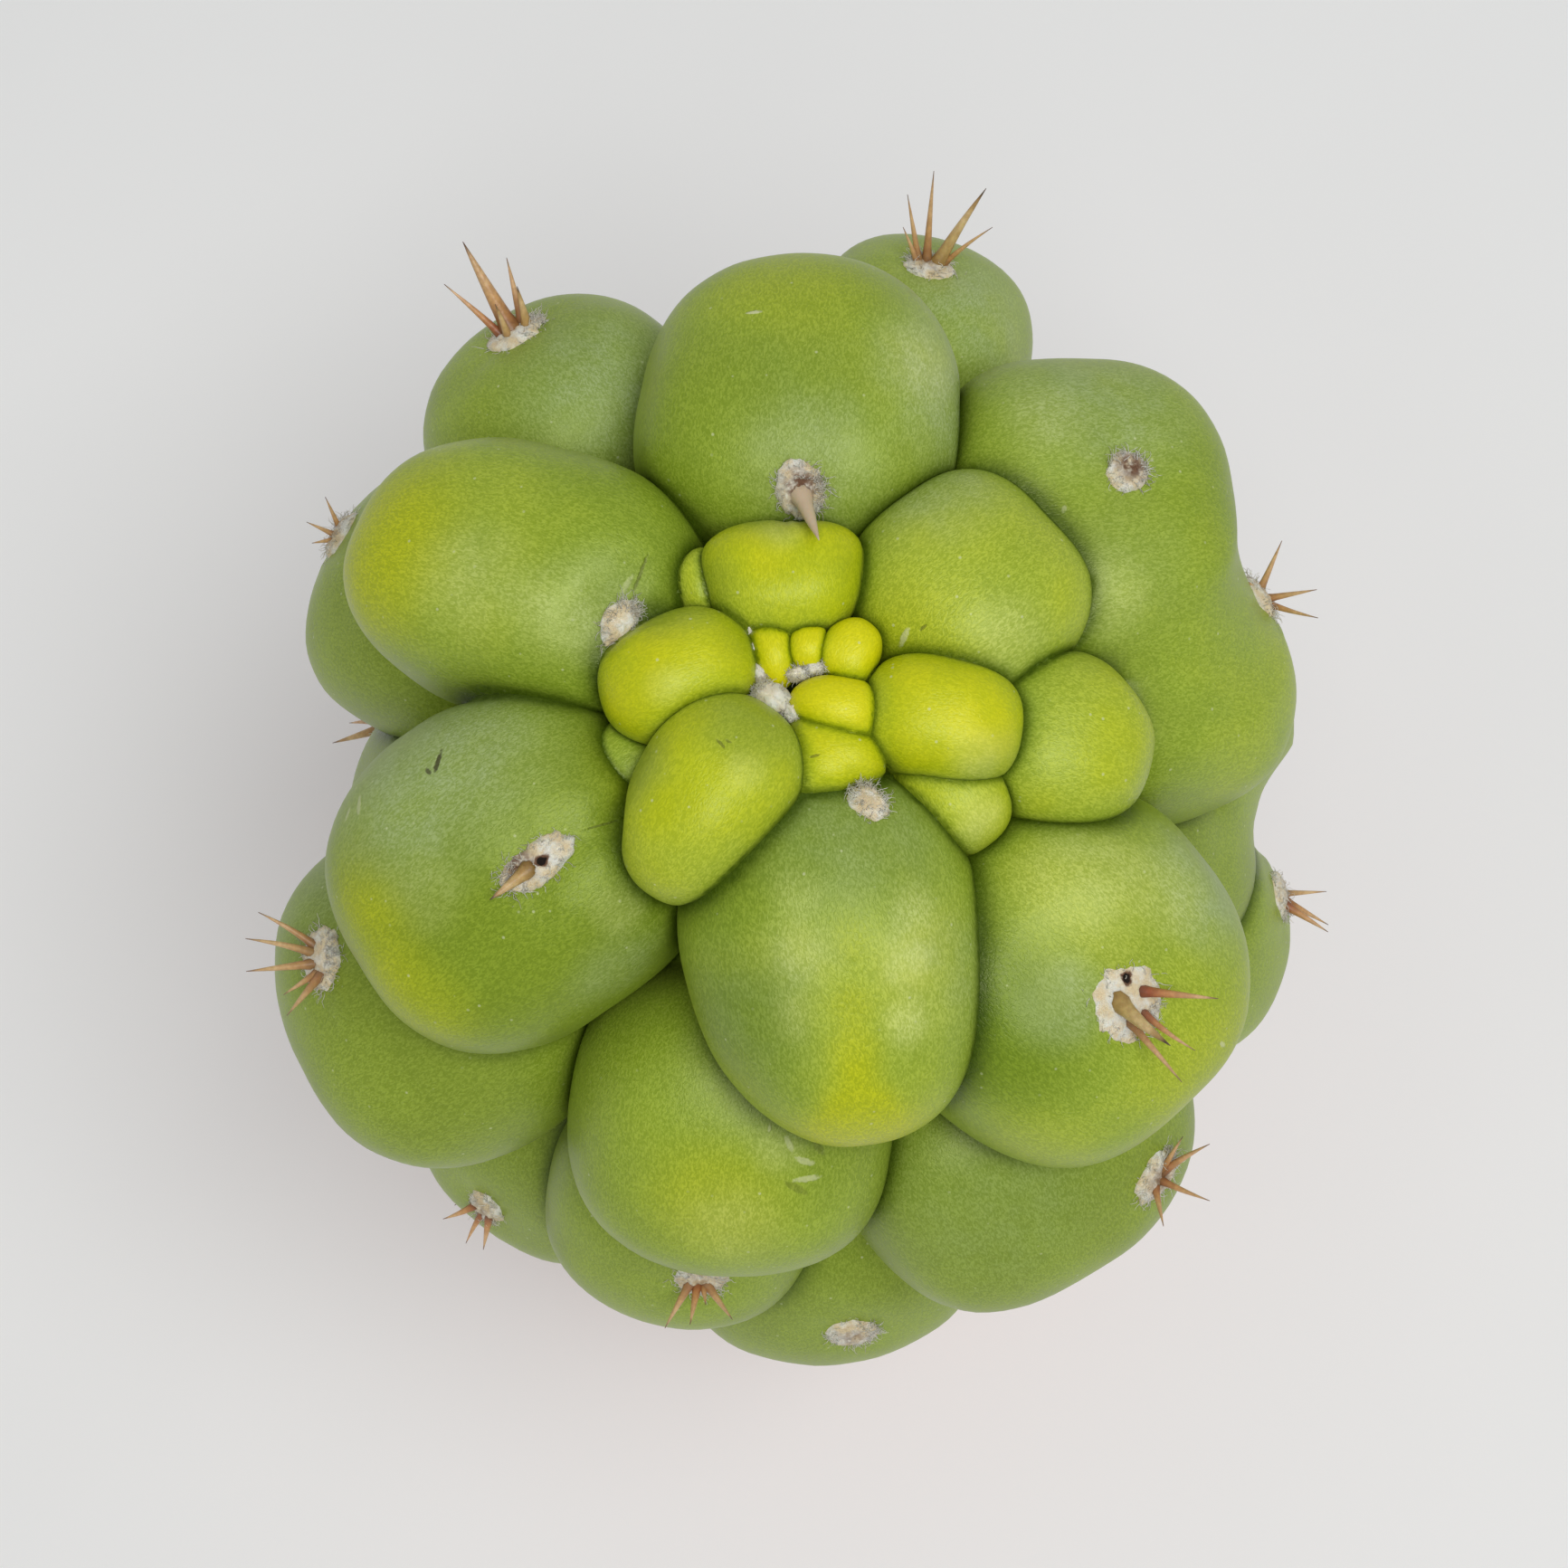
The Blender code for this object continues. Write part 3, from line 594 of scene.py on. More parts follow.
def skirt_knobs():
    """The lowest ring, evenly spaced, each a little different, hanging over the pot's rim."""
    chance = random.Random(GROWTH_SEED)
    drop = (CROWN_Z - POT_HEIGHT) / MM - SKIRT_CLEARANCE - SKIRT_HALF_SIZES[0]
    rows = {}
    for number in range(SKIRT_COUNT):
        turn = chance.uniform(-SKIRT_TURN_VARIATION, SKIRT_TURN_VARIATION)
        bearing = 360 * number / SKIRT_COUNT + turn
        reach = SKIRT_REACH + chance.uniform(-SKIRT_VARIATION, SKIRT_VARIATION)
        long = SKIRT_HALF_SIZES[0] - chance.uniform(0, SKIRT_VARIATION)
        wide = SKIRT_HALF_SIZES[1] - chance.uniform(0, SKIRT_VARIATION)
        row = (bearing, reach, drop, bearing, SKIRT_DIP, long, wide, SKIRT_HALF_SIZES[2], 0.0, 0.96)
        rows[f"skirt_{number + 1}"] = row
    return rows


def swollen_knob(knob, fineness):
    """A ball squared off towards a rounded box, widened to its outer end, in its place."""
    solid = bmesh.new()
    bmesh.ops.create_icosphere(solid, subdivisions=1, radius=1.0)
    bmesh.ops.subdivide_edges(solid, edges=solid.edges, cuts=fineness - 1, use_grid_fill=True)
    for vertex in solid.verts:
        x, y, z = vertex.co / sum(abs(c) ** knob.square for c in vertex.co) ** (1 / knob.square)
        vertex.co = (knob.long * x, knob.wide * y * (1 + knob.egg * x), knob.deep * z)
    bmesh.ops.transform(solid, matrix=knob_place(knob), verts=solid.verts)
    return solid


def grown_together(body, parts):
    """Unite the parts with the body into one closed skin, and clear the parts away."""
    crowd = bpy.data.collections.new("crowd")
    for part in parts:
        crowd.objects.link(part)
    union = body.modifiers.new("Grown together", "BOOLEAN")
    union.operation = "UNION"
    union.operand_type = "COLLECTION"
    union.collection = crowd
    union.solver = "MANIFOLD"
    whole = bpy.data.meshes.new_from_object(body.evaluated_get(bpy.context.evaluated_depsgraph_get()))
    for part in [*parts, body]:
        bpy.data.objects.remove(part, do_unlink=True)
    bpy.data.collections.remove(crowd)
    return whole


knobs = {
    name: Knob(*(row if len(row) == 11 else (*row, SQUARENESS))) for name, row in {**KNOBS, **skirt_knobs()}.items()
}
column = bmesh.new()
bmesh.ops.create_icosphere(column, subdivisions=5, radius=1.0)
core_top = CROWN_Z - CORE_TOP_DROP * MM
core_size = Matrix.Diagonal((CORE_RADIUS * MM, CORE_RADIUS * MM, (core_top - GRIT_TOP) / 2, 1.0))
core_place = Matrix.Translation((*PLANT_AXIS, (core_top + GRIT_TOP) / 2))
bmesh.ops.transform(column, matrix=core_place @ core_size, verts=column.verts)
neck = spin_profile(rooted_end(0.0) + [
    (NECK_RADIUS, GRIT_TOP + 2 * MM),
    (NECK_RADIUS + 1 * MM, GRIT_TOP + 9 * MM),
    (NECK_RADIUS + 4 * MM, GRIT_TOP + 20 * MM),
    (0.0, GRIT_TOP + 38 * MM),
], 96)
upright_edges = [e for e in neck.edges if e.calc_length() > 3 * MM]
bmesh.ops.subdivide_edges(neck, edges=upright_edges, cuts=6, use_grid_fill=True)
parts = [meshed(name, swollen_knob(knob, FINENESS[name.split("_")[0]])) for name, knob in knobs.items()]
skin_mesh = grown_together(meshed("column", column), [*parts, meshed("neck", neck)])


def local_points(knob, points):
    """World points in a knob's own frame, in millimetres."""
    into_knob = np.array(knob_place(knob).inverted())
    return points @ into_knob[:3, :3].T + into_knob[:3, 3]


def knob_values(points):
    """How far out each point lies in each knob, as a share of the knob's size. A point on its skin has 1."""
    values = []
    for knob in knobs.values():
        x, y, z = local_points(knob, points).T
        widening = np.maximum(LEAST_WIDENING, 1 + knob.egg * x / knob.long)
        shares = (np.abs(x / knob.long), np.abs(y / knob.wide) / widening, np.abs(z / knob.deep))
        values.append(sum(share ** knob.square for share in shares) ** (1 / knob.square))
    return np.array(values)


def read_array(source, attribute, width, kind=np.float64):
    values = np.empty(len(source) * width, dtype=kind)
    source.foreach_get(attribute, values)
    return values.reshape(-1, width) if width > 1 else values


def aimed(turn, lift):
    """Unit vector in a knob's frame, turned round its depth and lifted out of its middle plane."""
    turn, lift = radians(turn, lift)
    return np.array([math.cos(turn) * math.cos(lift), math.sin(turn) * math.cos(lift), math.sin(lift)])


def smooth_step(values):
    values = np.clip(values, 0.0, 1.0)
    return values * values * (3.0 - 2.0 * values)


def noise_field(points, scale, offset):
    shift = Vector((offset, offset * 0.7, -offset))
    return np.array([noise.noise(Vector(point) * scale + shift) for point in points])


# Where each areole sits: the turn and lift of a line from the knob's middle, and how deep the skin dimples under it.
SEATS = {
    "crown_north": (-177, 24, 0.7),
    "crown_north_west": (166, 29, 0.9),
    "crown_west": (150, 61, 1.0),
    "crown_south": (160, 27, 0.4),
    "crown_east": (114, 80, 0.9),
    "crown_south_east": (0, 88, 1.2),
    "crown_far_east": (27, 39, 0.6),
    "shoulder_1": (177, 74, 0.6),
    "shoulder_3": (-41, 84, 0.5),
    "shoulder_4": (-15, 54, 0.6),
    "shoulder_6": (-82, 67, 0.7),
    "shoulder_8": (62, 50, 0.6),
    "flank_1": (0, 75, 0.7),
    "flank_2": (0, 70, 0.7),
    "flank_3": (0, 72, 0.7),
    "flank_4": (0, 70, 0.7),
    "flank_5": (0, 60, 0.7),
    "flank_6": (112, 68, 0.7),
    "flank_7": (27, 74, 0.7),
    "flank_8": (0, 66, 0.7),
    "flank_9": (60, 50, 0.7),
    "flank_10": (0, 72, 0.7),
    "flank_11": (0, 70, 0.7),
    "skirt_2": (0, 70, 0.6),
    "skirt_4": (0, 70, 0.6),
    "skirt_6": (0, 70, 0.6),
    "skirt_8": (0, 70, 0.6),
}


def seat_on_knob(name, turn, lift):
    """Where a line from the knob's middle leaves the knob, and the way the skin faces there."""
    knob = knobs[name]
    x, y, z = aimed(turn, lift)
    widening = 1.0
    for _ in range(6):
        powers = abs(x / knob.long) ** knob.square + abs(y / knob.wide / widening) ** knob.square
        reach = (powers + abs(z / knob.deep) ** knob.square) ** (-1 / knob.square)
        widening = 1 + knob.egg * reach * x / knob.long
    sides = ((x, knob.long), (y, knob.wide), (z, knob.deep))
    slope = Vector([math.copysign(abs(c / half) ** (knob.square - 1) / half, c) for c, half in sides])
    place = knob_place(knob)
    return place @ Vector((x * reach, y * reach, z * reach)), (place.to_3x3() @ slope).normalized()


seats = {name: seat_on_knob(name, turn, lift) for name, (turn, lift, _) in SEATS.items()}

# Knobs that have grown into one another, with only a soft valley between them.
SOFT_VALLEYS = (("crown_east", "crown_far_east"), ("shoulder_9", "shoulder_10"))
VALLEY_REACH = 9.0
VALLEY_END = 5.0
VALLEY_ROUNDS = 110
VALLEY_PULL = 0.8
# Hollows, and swells with a negative depth: the turn and lift from the knob's middle, and the spread and depth in
# millimetres.
HOLLOWS = {
    "crown_south_east": (
        (-161, 62, 4.5, 0.9), (-176, 45, 6.0, 0.5), (147, 49, 7.0, -0.6), (96, 40, 5.0, -0.5),
    ),
    "crown_east": (
        (-176, 60, 6.0, 0.8), (-114, 56, 7.0, -0.5), (20, 70, 9.0, -0.4),
    ),
    "crown_west": (
        (162, 46, 2.6, 0.8), (164, 34, 2.2, 0.9), (166, 22, 2.2, 0.7), (165, 75, 3.5, -0.35), (-34, 81, 8.0, -0.5),
        (70, 52, 6.0, 0.4),
    ),
    "crown_north_west": (
        (157, 39, 2.6, 0.5), (172, 36, 2.2, 0.6), (-173, 32, 2.2, 0.4), (140, 55, 6.0, -0.3),
    ),
    "crown_south": (
        (101, 66, 5.0, -0.35), (40, 80, 4.5, 0.3), (-110, 55, 7.0, 0.4),
    ),
    "crown_north": (
        (150, 60, 8.0, 0.4), (-60, 55, 9.0, -0.4),
    ),
    "young_south_west": (
        (50, 78, 3.5, -0.35), (-56, 66, 3.0, 0.3),
    ),
    "young_west": (
        (40, 70, 3.0, -0.25),
    ),
    "shoulder_7": (
        (60, 60, 6.0, -0.4), (140, 50, 6.0, 0.4),
    ),
}
# How far a crease's fold reaches, as a share of the knob, which also sets the painted crease shade, and how deep the
# fold sinks in millimetres.
FOLD_SHARE = 0.105
FOLD_DEPTH = 0.25
# How far out of every knob a face's middle lies, as a share of the knob, before the face belongs to the core.
OUT_OF_KNOBS = 1.04
CORE_KNOB_SIZE = 15.0
# Waves over the skin, as a scale and a depth: broad ones that grow with the knob, and fine ones in millimetres.
BROAD_WAVES = (80.0, 0.040)
FINE_WAVES = (210.0, 0.10)
# Round an areole: how far its dimple and puckers reach, the dimple's spread, and the puckers' place, count and depth.
DIMPLE_REACH = 14.0
DIMPLE_SPREAD = 4.2
PUCKER_AT = 4.0
PUCKER_SPREAD = 2.0
PUCKER_COUNT = 9
PUCKER_DEPTH = 0.09


def distances(points, targets):
    """How far each point lies from the nearest target, in millimetres."""
    tree = KDTree(len(targets))
    for index, target in enumerate(targets):
        tree.insert(target, index)
    tree.balance()
    return np.array([tree.find(point)[2] for point in points]) / MM


def softened(points, pairs):
    """The points with the valleys between the named pairs of knobs smoothed, and which points lie in those valleys."""
    ends = read_array(skin_mesh.edges, "vertices", 2, np.int32)
    neighbours = np.bincount(ends.ravel(), minlength=len(points))
    all_soft = np.zeros(len(points), dtype=bool)
    meeting = meeting_places(corner_vertex, len(points))
    for pair in pairs:
        soft = np.ones(len(points), dtype=bool)
        for name in pair:
            touched = np.zeros(len(points), dtype=bool)
            touched[corner_vertex[corner_owner == list(knobs).index(name)]] = True
            soft &= touched
        away = distances(points, points[soft])
        from_hard = distances(points, points[meeting & ~soft])
        weight = VALLEY_PULL * (smooth_step(1 - away / VALLEY_REACH) * smooth_step(from_hard / VALLEY_END))[:, None]
        for _ in range(VALLEY_ROUNDS):
            total = np.stack([
                np.bincount(ends[:, 0], points[ends[:, 1], axis], len(points))
                + np.bincount(ends[:, 1], points[ends[:, 0], axis], len(points))
                for axis in range(3)
            ], axis=1)
            points = points + weight * (total / neighbours[:, None] - points)
        all_soft |= soft
    return points, all_soft


corner_vertex = read_array(skin_mesh.loops, "vertex_index", 1, np.int32)
corner_edge = read_array(skin_mesh.loops, "edge_index", 1, np.int32)
face_sizes = read_array(skin_mesh.polygons, "loop_total", 1, np.int32)
face_values = knob_values(read_array(skin_mesh.polygons, "center", 3))
face_owner = face_values.argmin(axis=0)
face_owner[face_values.min(axis=0) > OUT_OF_KNOBS] = len(knobs)
corner_owner = np.repeat(face_owner, face_sizes)


def meeting_places(corner_place, count):
    """Which vertices or edges lie where two knobs meet."""
    lowest = np.full(count, len(knobs) + 1)
    highest = np.full(count, -1)
    np.minimum.at(lowest, corner_place, corner_owner)
    np.maximum.at(highest, corner_place, corner_owner)
    return lowest != highest


points, in_valley = softened(read_array(skin_mesh.vertices, "co", 3), SOFT_VALLEYS)
skin_mesh.vertices.foreach_set("co", points.ravel())
skin_mesh.update()
in_crease = meeting_places(corner_vertex, len(skin_mesh.vertices)) & ~in_valley
from_crease = distances(points, points[in_crease])

vertex_owner = np.full(len(points), len(knobs))
vertex_owner[corner_vertex] = corner_owner
knob_sizes = np.array([min(knob.long, knob.wide) for knob in knobs.values()] + [CORE_KNOB_SIZE])
tucked = np.exp(-from_crease / (FOLD_SHARE * knob_sizes[vertex_owner]))
heights = noise_field(points, BROAD_WAVES[0], 3.1) * BROAD_WAVES[1] * knob_sizes[vertex_owner]
heights += noise_field(points, FINE_WAVES[0], 8.4) * FINE_WAVES[1]
heights -= FOLD_DEPTH * tucked ** 2
for name, (place, normal) in seats.items():
    away = points - np.array(place)
    distance = np.linalg.norm(away, axis=1) / MM
    near = distance < DIMPLE_REACH
    frame_x = normal.orthogonal()
    frame_y = normal.cross(frame_x)
    bearing = np.arctan2(away[near] @ np.array(frame_y), away[near] @ np.array(frame_x))
    wandering = 2.0 * np.sin(bearing * 2 + distance[near] * 0.3)
    puckers = np.sin(bearing * PUCKER_COUNT + wandering) * PUCKER_DEPTH
    heights[near] -= SEATS[name][2] * np.exp(-(distance[near] / DIMPLE_SPREAD) ** 2)
    heights[near] += puckers * np.exp(-((distance[near] - PUCKER_AT) / PUCKER_SPREAD) ** 2)
for name, rows in HOLLOWS.items():
    for turn, lift, spread, depth in rows:
        distance = np.linalg.norm(points - np.array(seat_on_knob(name, turn, lift)[0]), axis=1) / MM
        heights -= depth * np.exp(-(distance / spread) ** 2)
normals = read_array(skin_mesh.vertex_normals, "vector", 3)
points += normals * (heights * MM)[:, None]
skin_mesh.vertices.foreach_set("co", points.ravel())

# Small scars on the skin: the knob, the turn and lift from its middle, the length and width in millimetres, the way it
# runs in the knob's own plan, and how dark it is. A negative darkness is a pale fleck.
SCARS = (
    ("crown_west", -110, 51, 1.3, 0.32, 50, 0.9),
    ("crown_west", -104, 53, 0.5, 0.25, 110, 0.8),
    ("bud_5", -158, 70, 0.6, 0.16, 20, 0.55),
    ("young_south_west", -168, 55, 0.7, 0.18, 75, 0.5),
    ("young_south_west", -174, 52, 0.4, 0.14, 95, 0.4),
    ("shoulder_7", 99, 61, 1.6, 0.45, 60, 0.30),
    ("shoulder_7", 104, 57, 1.5, 0.40, 95, -0.45),
    ("shoulder_7", 119, 50, 1.2, 0.40, 40, 0.30),
    ("shoulder_7", 116, 56, 1.2, 0.35, 70, -0.40),
    ("shoulder_7", 132, 58, 1.0, 0.35, 30, -0.35),
    ("shoulder_7", 149, 59, 0.5, 0.2, 0, -0.4),
    ("crown_west", 164, 37, 2.6, 0.13, 166, 0.45),
    ("crown_west", -62, 42, 1.3, 0.30, 70, -0.40),
    ("crown_west", -56, 38, 0.9, 0.25, 40, -0.35),
    ("crown_north_west", -175, 32, 2.5, 0.17, 87, 0.50),
    ("crown_north_west", 179, 35, 1.8, 0.30, 80, -0.30),
    ("crown_north", 72, 69, 0.9, 0.25, 90, -0.7),
    ("crown_north_east", -175, 29, 0.9, 0.35, 30, -0.5),
    ("crown_north_east", -170, 39, 0.35, 0.2, 0, 0.5),
    ("crown_south_east", 20, 40, 0.6, 0.3, 10, -0.5),
    ("crown_east", -174, 58, 0.5, 0.3, 60, -0.4),
)
KNOB_SPACING = 61.0
# Bare cork on the neck, and patches of it low on the skirt: heights above the grit and fades, in millimetres.
NECK_CORK = (15.0, 8.0)
SKIRT_CORK = (11.0, 5.0)
SKIRT_CORK_SHARE = 0.85
CORE_RIPENESS = 0.95
# How much darker and greener the skin is made towards a crease, partly its own deeper green and partly painted shade,
# and how far from it, as a share of the knob.
CREASE_DARKENING = 0.30
CREASE_SHARE = 0.24
PATCH_FULLNESS = 1.25
PATCH_FADE = 1.3
RIPENING = (
    (0.00, (0.66, 0.64, 0.004)),
    (0.22, (0.46, 0.52, 0.006)),
    (0.45, (0.385, 0.47, 0.036)),
    (0.70, (0.285, 0.385, 0.034)),
    (1.00, (0.225, 0.305, 0.028)),
)
YELLOW_GLOW = (0.44, 0.49, 0.006)
# Pale bloom, partly used as painted highlight, and deep green, partly used as painted shade.
PALE_BLOOM_AND_HIGHLIGHT = (0.34, 0.43, 0.19)
DEEP_GREEN_AND_SHADE = (0.145, 0.230, 0.006)
CORK = (0.36, 0.25, 0.14)
CORK_CRACK = (0.12, 0.075, 0.040)
PORE_DOT = (0.62, 0.66, 0.38)
PALE_SCAR = (0.70, 0.70, 0.44)
DARK_SCAR = (0.050, 0.042, 0.016)


def ramp(tree, factor, stops):
    made = node(tree, "ShaderNodeValToRGB", {"Fac": factor})
    points = made.color_ramp.elements
    while len(points) < len(stops):
        points.new(0.5)
    for point, (position, colour) in zip(points, stops):
        point.position = position
        point.color = (*colour, 1.0)
    return made.outputs["Color"]


def knob_offset(name):
    """Shift that keeps each knob's own piece of texture apart from its neighbours'."""
    return Vector((KNOB_SPACING * list(knobs).index(name), 0.0, 0.0))


def vector_math(tree, operation, first, second=(0.0, 0.0, 0.0)):
    return node(tree, "ShaderNodeVectorMath", {0: first, 1: second}, operation=operation)


def scar_mask(tree, place, wander, scar):
    """A ragged streak round one point of the skin."""
    name, turn, lift, long, wide, heading, _ = scar
    knob = knobs[name]
    seat, _ = seat_on_knob(name, turn, lift)
    middle = knob_place(knob).inverted() @ seat + knob_offset(name)
    moved = vector_math(tree, "SUBTRACT", place, middle).outputs[0]
    turning = {"Vector": moved, "Angle": -math.radians(heading)}
    turned = node(tree, "ShaderNodeVectorRotate", turning, rotation_type="Z_AXIS").outputs[0]
    sized = vector_math(tree, "MULTIPLY", turned, (1 / long, 1 / wide, 0.5)).outputs[0]
    ragged = vector_math(tree, "ADD", sized, wander).outputs[0]
    return level(tree, vector_math(tree, "LENGTH", ragged).outputs["Value"], 1.1, 0.6)


def scar_masks(tree, place, dark):
    """All the dark scars, or all the pale flecks, as one mask."""
    wander = noise_node(tree, place, 2.4, 3.0).outputs["Color"]
    wander = vector_math(tree, "SUBTRACT", wander, (0.5, 0.5, 0.5)).outputs[0]
    total = None
    for scar in SCARS:
        if (scar[-1] > 0) == dark:
            mask = times(tree, scar_mask(tree, place, wander, scar), abs(scar[-1]))
            total = mask if total is None else math_node(tree, "MAXIMUM", total, mask)
    return total


def channels(tree, name):
    source = node(tree, "ShaderNodeAttribute", attribute_name=name)
    parts = node(tree, "ShaderNodeSeparateColor", {"Color": source.outputs["Color"]})
    return [*(parts.outputs[part] for part in ("Red", "Green", "Blue")), source.outputs["Alpha"]]


def waxy_skin():
    material, tree, shader = new_material("waxy_skin")
    place = node(tree, "ShaderNodeAttribute", attribute_name="skin_place").outputs["Vector"]
    ripe, glow, bloom_and_highlight, deep = channels(tree, "growth_and_painted_light")
    # Closeness to a crease, which sets the painted crease shade, then bare cork, then painted highlights.
    tucked, cork, painted_highlight, _ = channels(tree, "cork_and_painted_light")

    patchy = math_node(tree, "SUBTRACT", mottle(tree, place, 0.085, 0.30, 0.70), 0.5)
    ripe = math_node(tree, "ADD", ripe, times(tree, patchy, 0.20))
    colour = ramp(tree, ripe, RIPENING)
    # Deep green, partly the skin's own darker green and partly painted shade on sides turned from the lamp.
    colour = blend(tree, deep, colour, DEEP_GREEN_AND_SHADE)
    colour = blend(tree, glow, colour, YELLOW_GLOW)
    powder = level(tree, mottle(tree, place, 0.30, 0.25, 0.75), 0.0, 1.0, 0.60, 1.0)
    # Pale bloom, partly real waxy bloom and partly painted highlight.
    colour = blend(tree, times(tree, bloom_and_highlight, powder), colour, PALE_BLOOM_AND_HIGHLIGHT)

    # Painted highlight: the colour turned paler and yellower where the painted highlights lie.
    highlight_colour = tinted(tree, blend(tree, 0.35, colour, (1.0, 1.0, 0.55)), (0.97, 1.0, 0.80))
    colour = blend(tree, times(tree, painted_highlight, powder), colour, highlight_colour)

    drawn = mapped(tree, place, (1.0, 1.9, 1.5))
    grain = noise_node(tree, drawn, 2.3, 2.5, Distortion=0.8).outputs["Fac"]
    flecks = level(tree, grain, 0.38, 0.66)
    lighter = tinted(tree, colour, (1.20, 1.16, 1.38))
    flecked = blend(tree, flecks, tinted(tree, colour, (0.84, 0.87, 0.68)), lighter)
    colour = blend(tree, level(tree, ripe, 0.0, 0.6, 0.42, 1.0), colour, flecked)

    pores = node(tree, "ShaderNodeTexVoronoi", {"Vector": place, "Scale": 0.75, "Randomness": 1.0}).outputs
    chosen = node(tree, "ShaderNodeSeparateColor", {"Color": pores["Color"]}).outputs["Red"]
    dots = times(tree, level(tree, pores["Distance"], 0.15, 0.07), level(tree, chosen, 0.70, 0.95))
    colour = blend(tree, times(tree, dots, 0.55), colour, PORE_DOT)

    pale = scar_masks(tree, place, False)
    scabs = scar_masks(tree, place, True)
    colour = blend(tree, pale, colour, PALE_SCAR)
    colour = blend(tree, scabs, colour, DARK_SCAR)
    # Painted crease shade: the colour darkens towards every crease between knobs, gently on young knobs and deeply on
    # ripe ones.
    crease_shade_tint = blend(tree, level(tree, ripe, 0.30, 0.70), (0.56, 0.60, 0.30), (0.26, 0.32, 0.14))
    shaded = tinted(tree, colour, crease_shade_tint)
    colour = blend(tree, level(tree, tucked, 0.12, 1.05), colour, shaded)

    cracks = noise_node(tree, mapped(tree, object_place(tree), (700.0, 700.0, 90.0)), 1.0, 4.0).outputs["Fac"]
    cracked = level(tree, cracks, 0.42, 0.56)
    colour = blend(tree, cork, colour, blend(tree, cracked, CORK_CRACK, CORK))

    shine = level(tree, grain, 0.30, 0.70, 0.32, 0.44)
    dull = math_node(tree, "ADD", shine, times(tree, bloom_and_highlight, 0.12))
    dull = math_node(tree, "ADD", dull, times(tree, cork, 0.40))
    relief = bump(tree, grain, 0.09 * MM, 0.70)
    relief = bump(tree, math_node(tree, "SUBTRACT", pale, scabs), 0.12 * MM, 0.8, relief)
    fill(tree, shader, {
        "Base Color": colour,
        "Roughness": dull,
        "Specular IOR Level": 0.50,
        "Specular Tint": (0.92, 1.0, 0.50, 1.0),
        "Subsurface Weight": 0.16,
        "Subsurface Radius": (0.9, 1.0, 0.3),
        "Subsurface Scale": 1.6 * MM,
        "Normal": bump(tree, times(tree, cracked, cork), 0.6 * MM, 0.9, relief),
    })
    return material


def patch_strength(directions, turn, lift, spread):
    """How strong a patch is in each direction from the knob's middle: full in its middle, fading to nothing."""
    apart = np.degrees(np.arccos(np.clip(directions @ aimed(turn, lift), -1.0, 1.0)))
    return smooth_step(PATCH_FULLNESS * (1 - apart / spread / PATCH_FADE))


corner_points = points[corner_vertex]
growth_and_painted_light = np.zeros((len(corner_vertex), 4))
cork_and_painted_light = np.zeros((len(corner_vertex), 4))
skin_place = corner_points / MM
growth_and_painted_light[:, 0] = CORE_RIPENESS
neck_height = (corner_points[:, 2] - GRIT_TOP) / MM
# Closeness to a crease, for the painted crease shade.
cork_and_painted_light[:, 0] = tucked[corner_vertex]
cork_and_painted_light[:, 1] = smooth_step((NECK_CORK[0] - neck_height) / NECK_CORK[1]) * (corner_owner == len(knobs))
old_skin = (corner_owner >= len(KNOBS)) & (corner_owner < len(knobs))
blotches = noise_field(points, 150.0, 5.7)[corner_vertex]
skirt_cork = smooth_step((SKIRT_CORK[0] - neck_height + 5.0 * blotches) / SKIRT_CORK[1])
cork_and_painted_light[old_skin, 1] = SKIRT_CORK_SHARE * skirt_cork[old_skin]
for index, (name, knob) in enumerate(knobs.items()):
    own = corner_owner == index
    if own.any():
        local = local_points(knob, corner_points[own])
        skin_place[own] = local + np.array(knob_offset(name))
        directions = local / np.linalg.norm(local, axis=1)[:, None]
        growth_and_painted_light[own, 0] = knob.ripe
        for *patch, glow, bloom_and_highlight, deep in PATCHES.get(name, ()):
            growth_and_painted_light[own, 1:] += patch_strength(directions, *patch)[:, None] * (glow, bloom_and_highlight, deep)
        # Painted highlights, in the third channel.
        for *patch, amount in PAINTED_HIGHLIGHTS.get(name, ()):
            cork_and_painted_light[own, 2] += patch_strength(directions, *patch) * amount
# A negative deep green pales and yellows the skin; most such patches lie on painted highlights.
growth_and_painted_light[:, 0] += np.minimum(growth_and_painted_light[:, 3], 0.0)
# Darker, greener skin towards each crease: partly the skin's own deeper green, partly painted shade.
growth_and_painted_light[:, 0] += CREASE_DARKENING * np.exp(-from_crease / (CREASE_SHARE * knob_sizes[vertex_owner]))[corner_vertex]
growth_and_painted_light = np.clip(growth_and_painted_light, 0.0, 1.0)
for label, kind, values in (
    ("skin_place", "FLOAT_VECTOR", skin_place),
    ("growth_and_painted_light", "FLOAT_COLOR", growth_and_painted_light),
    ("cork_and_painted_light", "FLOAT_COLOR", cork_and_painted_light),
):
    layer = skin_mesh.attributes.new(label, kind, "CORNER")
    layer.data.foreach_set("vector" if kind == "FLOAT_VECTOR" else "color", values.astype(np.float32).ravel())
split = skin_mesh.attributes.new("sharp_edge", "BOOLEAN", "EDGE")
in_soft_edge = in_valley[read_array(skin_mesh.edges, "vertices", 2, np.int32)].all(axis=1)
split.data.foreach_set("value", meeting_places(corner_edge, len(skin_mesh.edges)) & ~in_soft_edge)
skin_mesh.shade_smooth()
stem = bmesh.new()
stem.from_mesh(skin_mesh)
bpy.data.meshes.remove(skin_mesh)
stem_surface = BVHTree.FromBMesh(stem)
add_piece("swollen_stem", stem, [waxy_skin()], ["cactus_stem"])

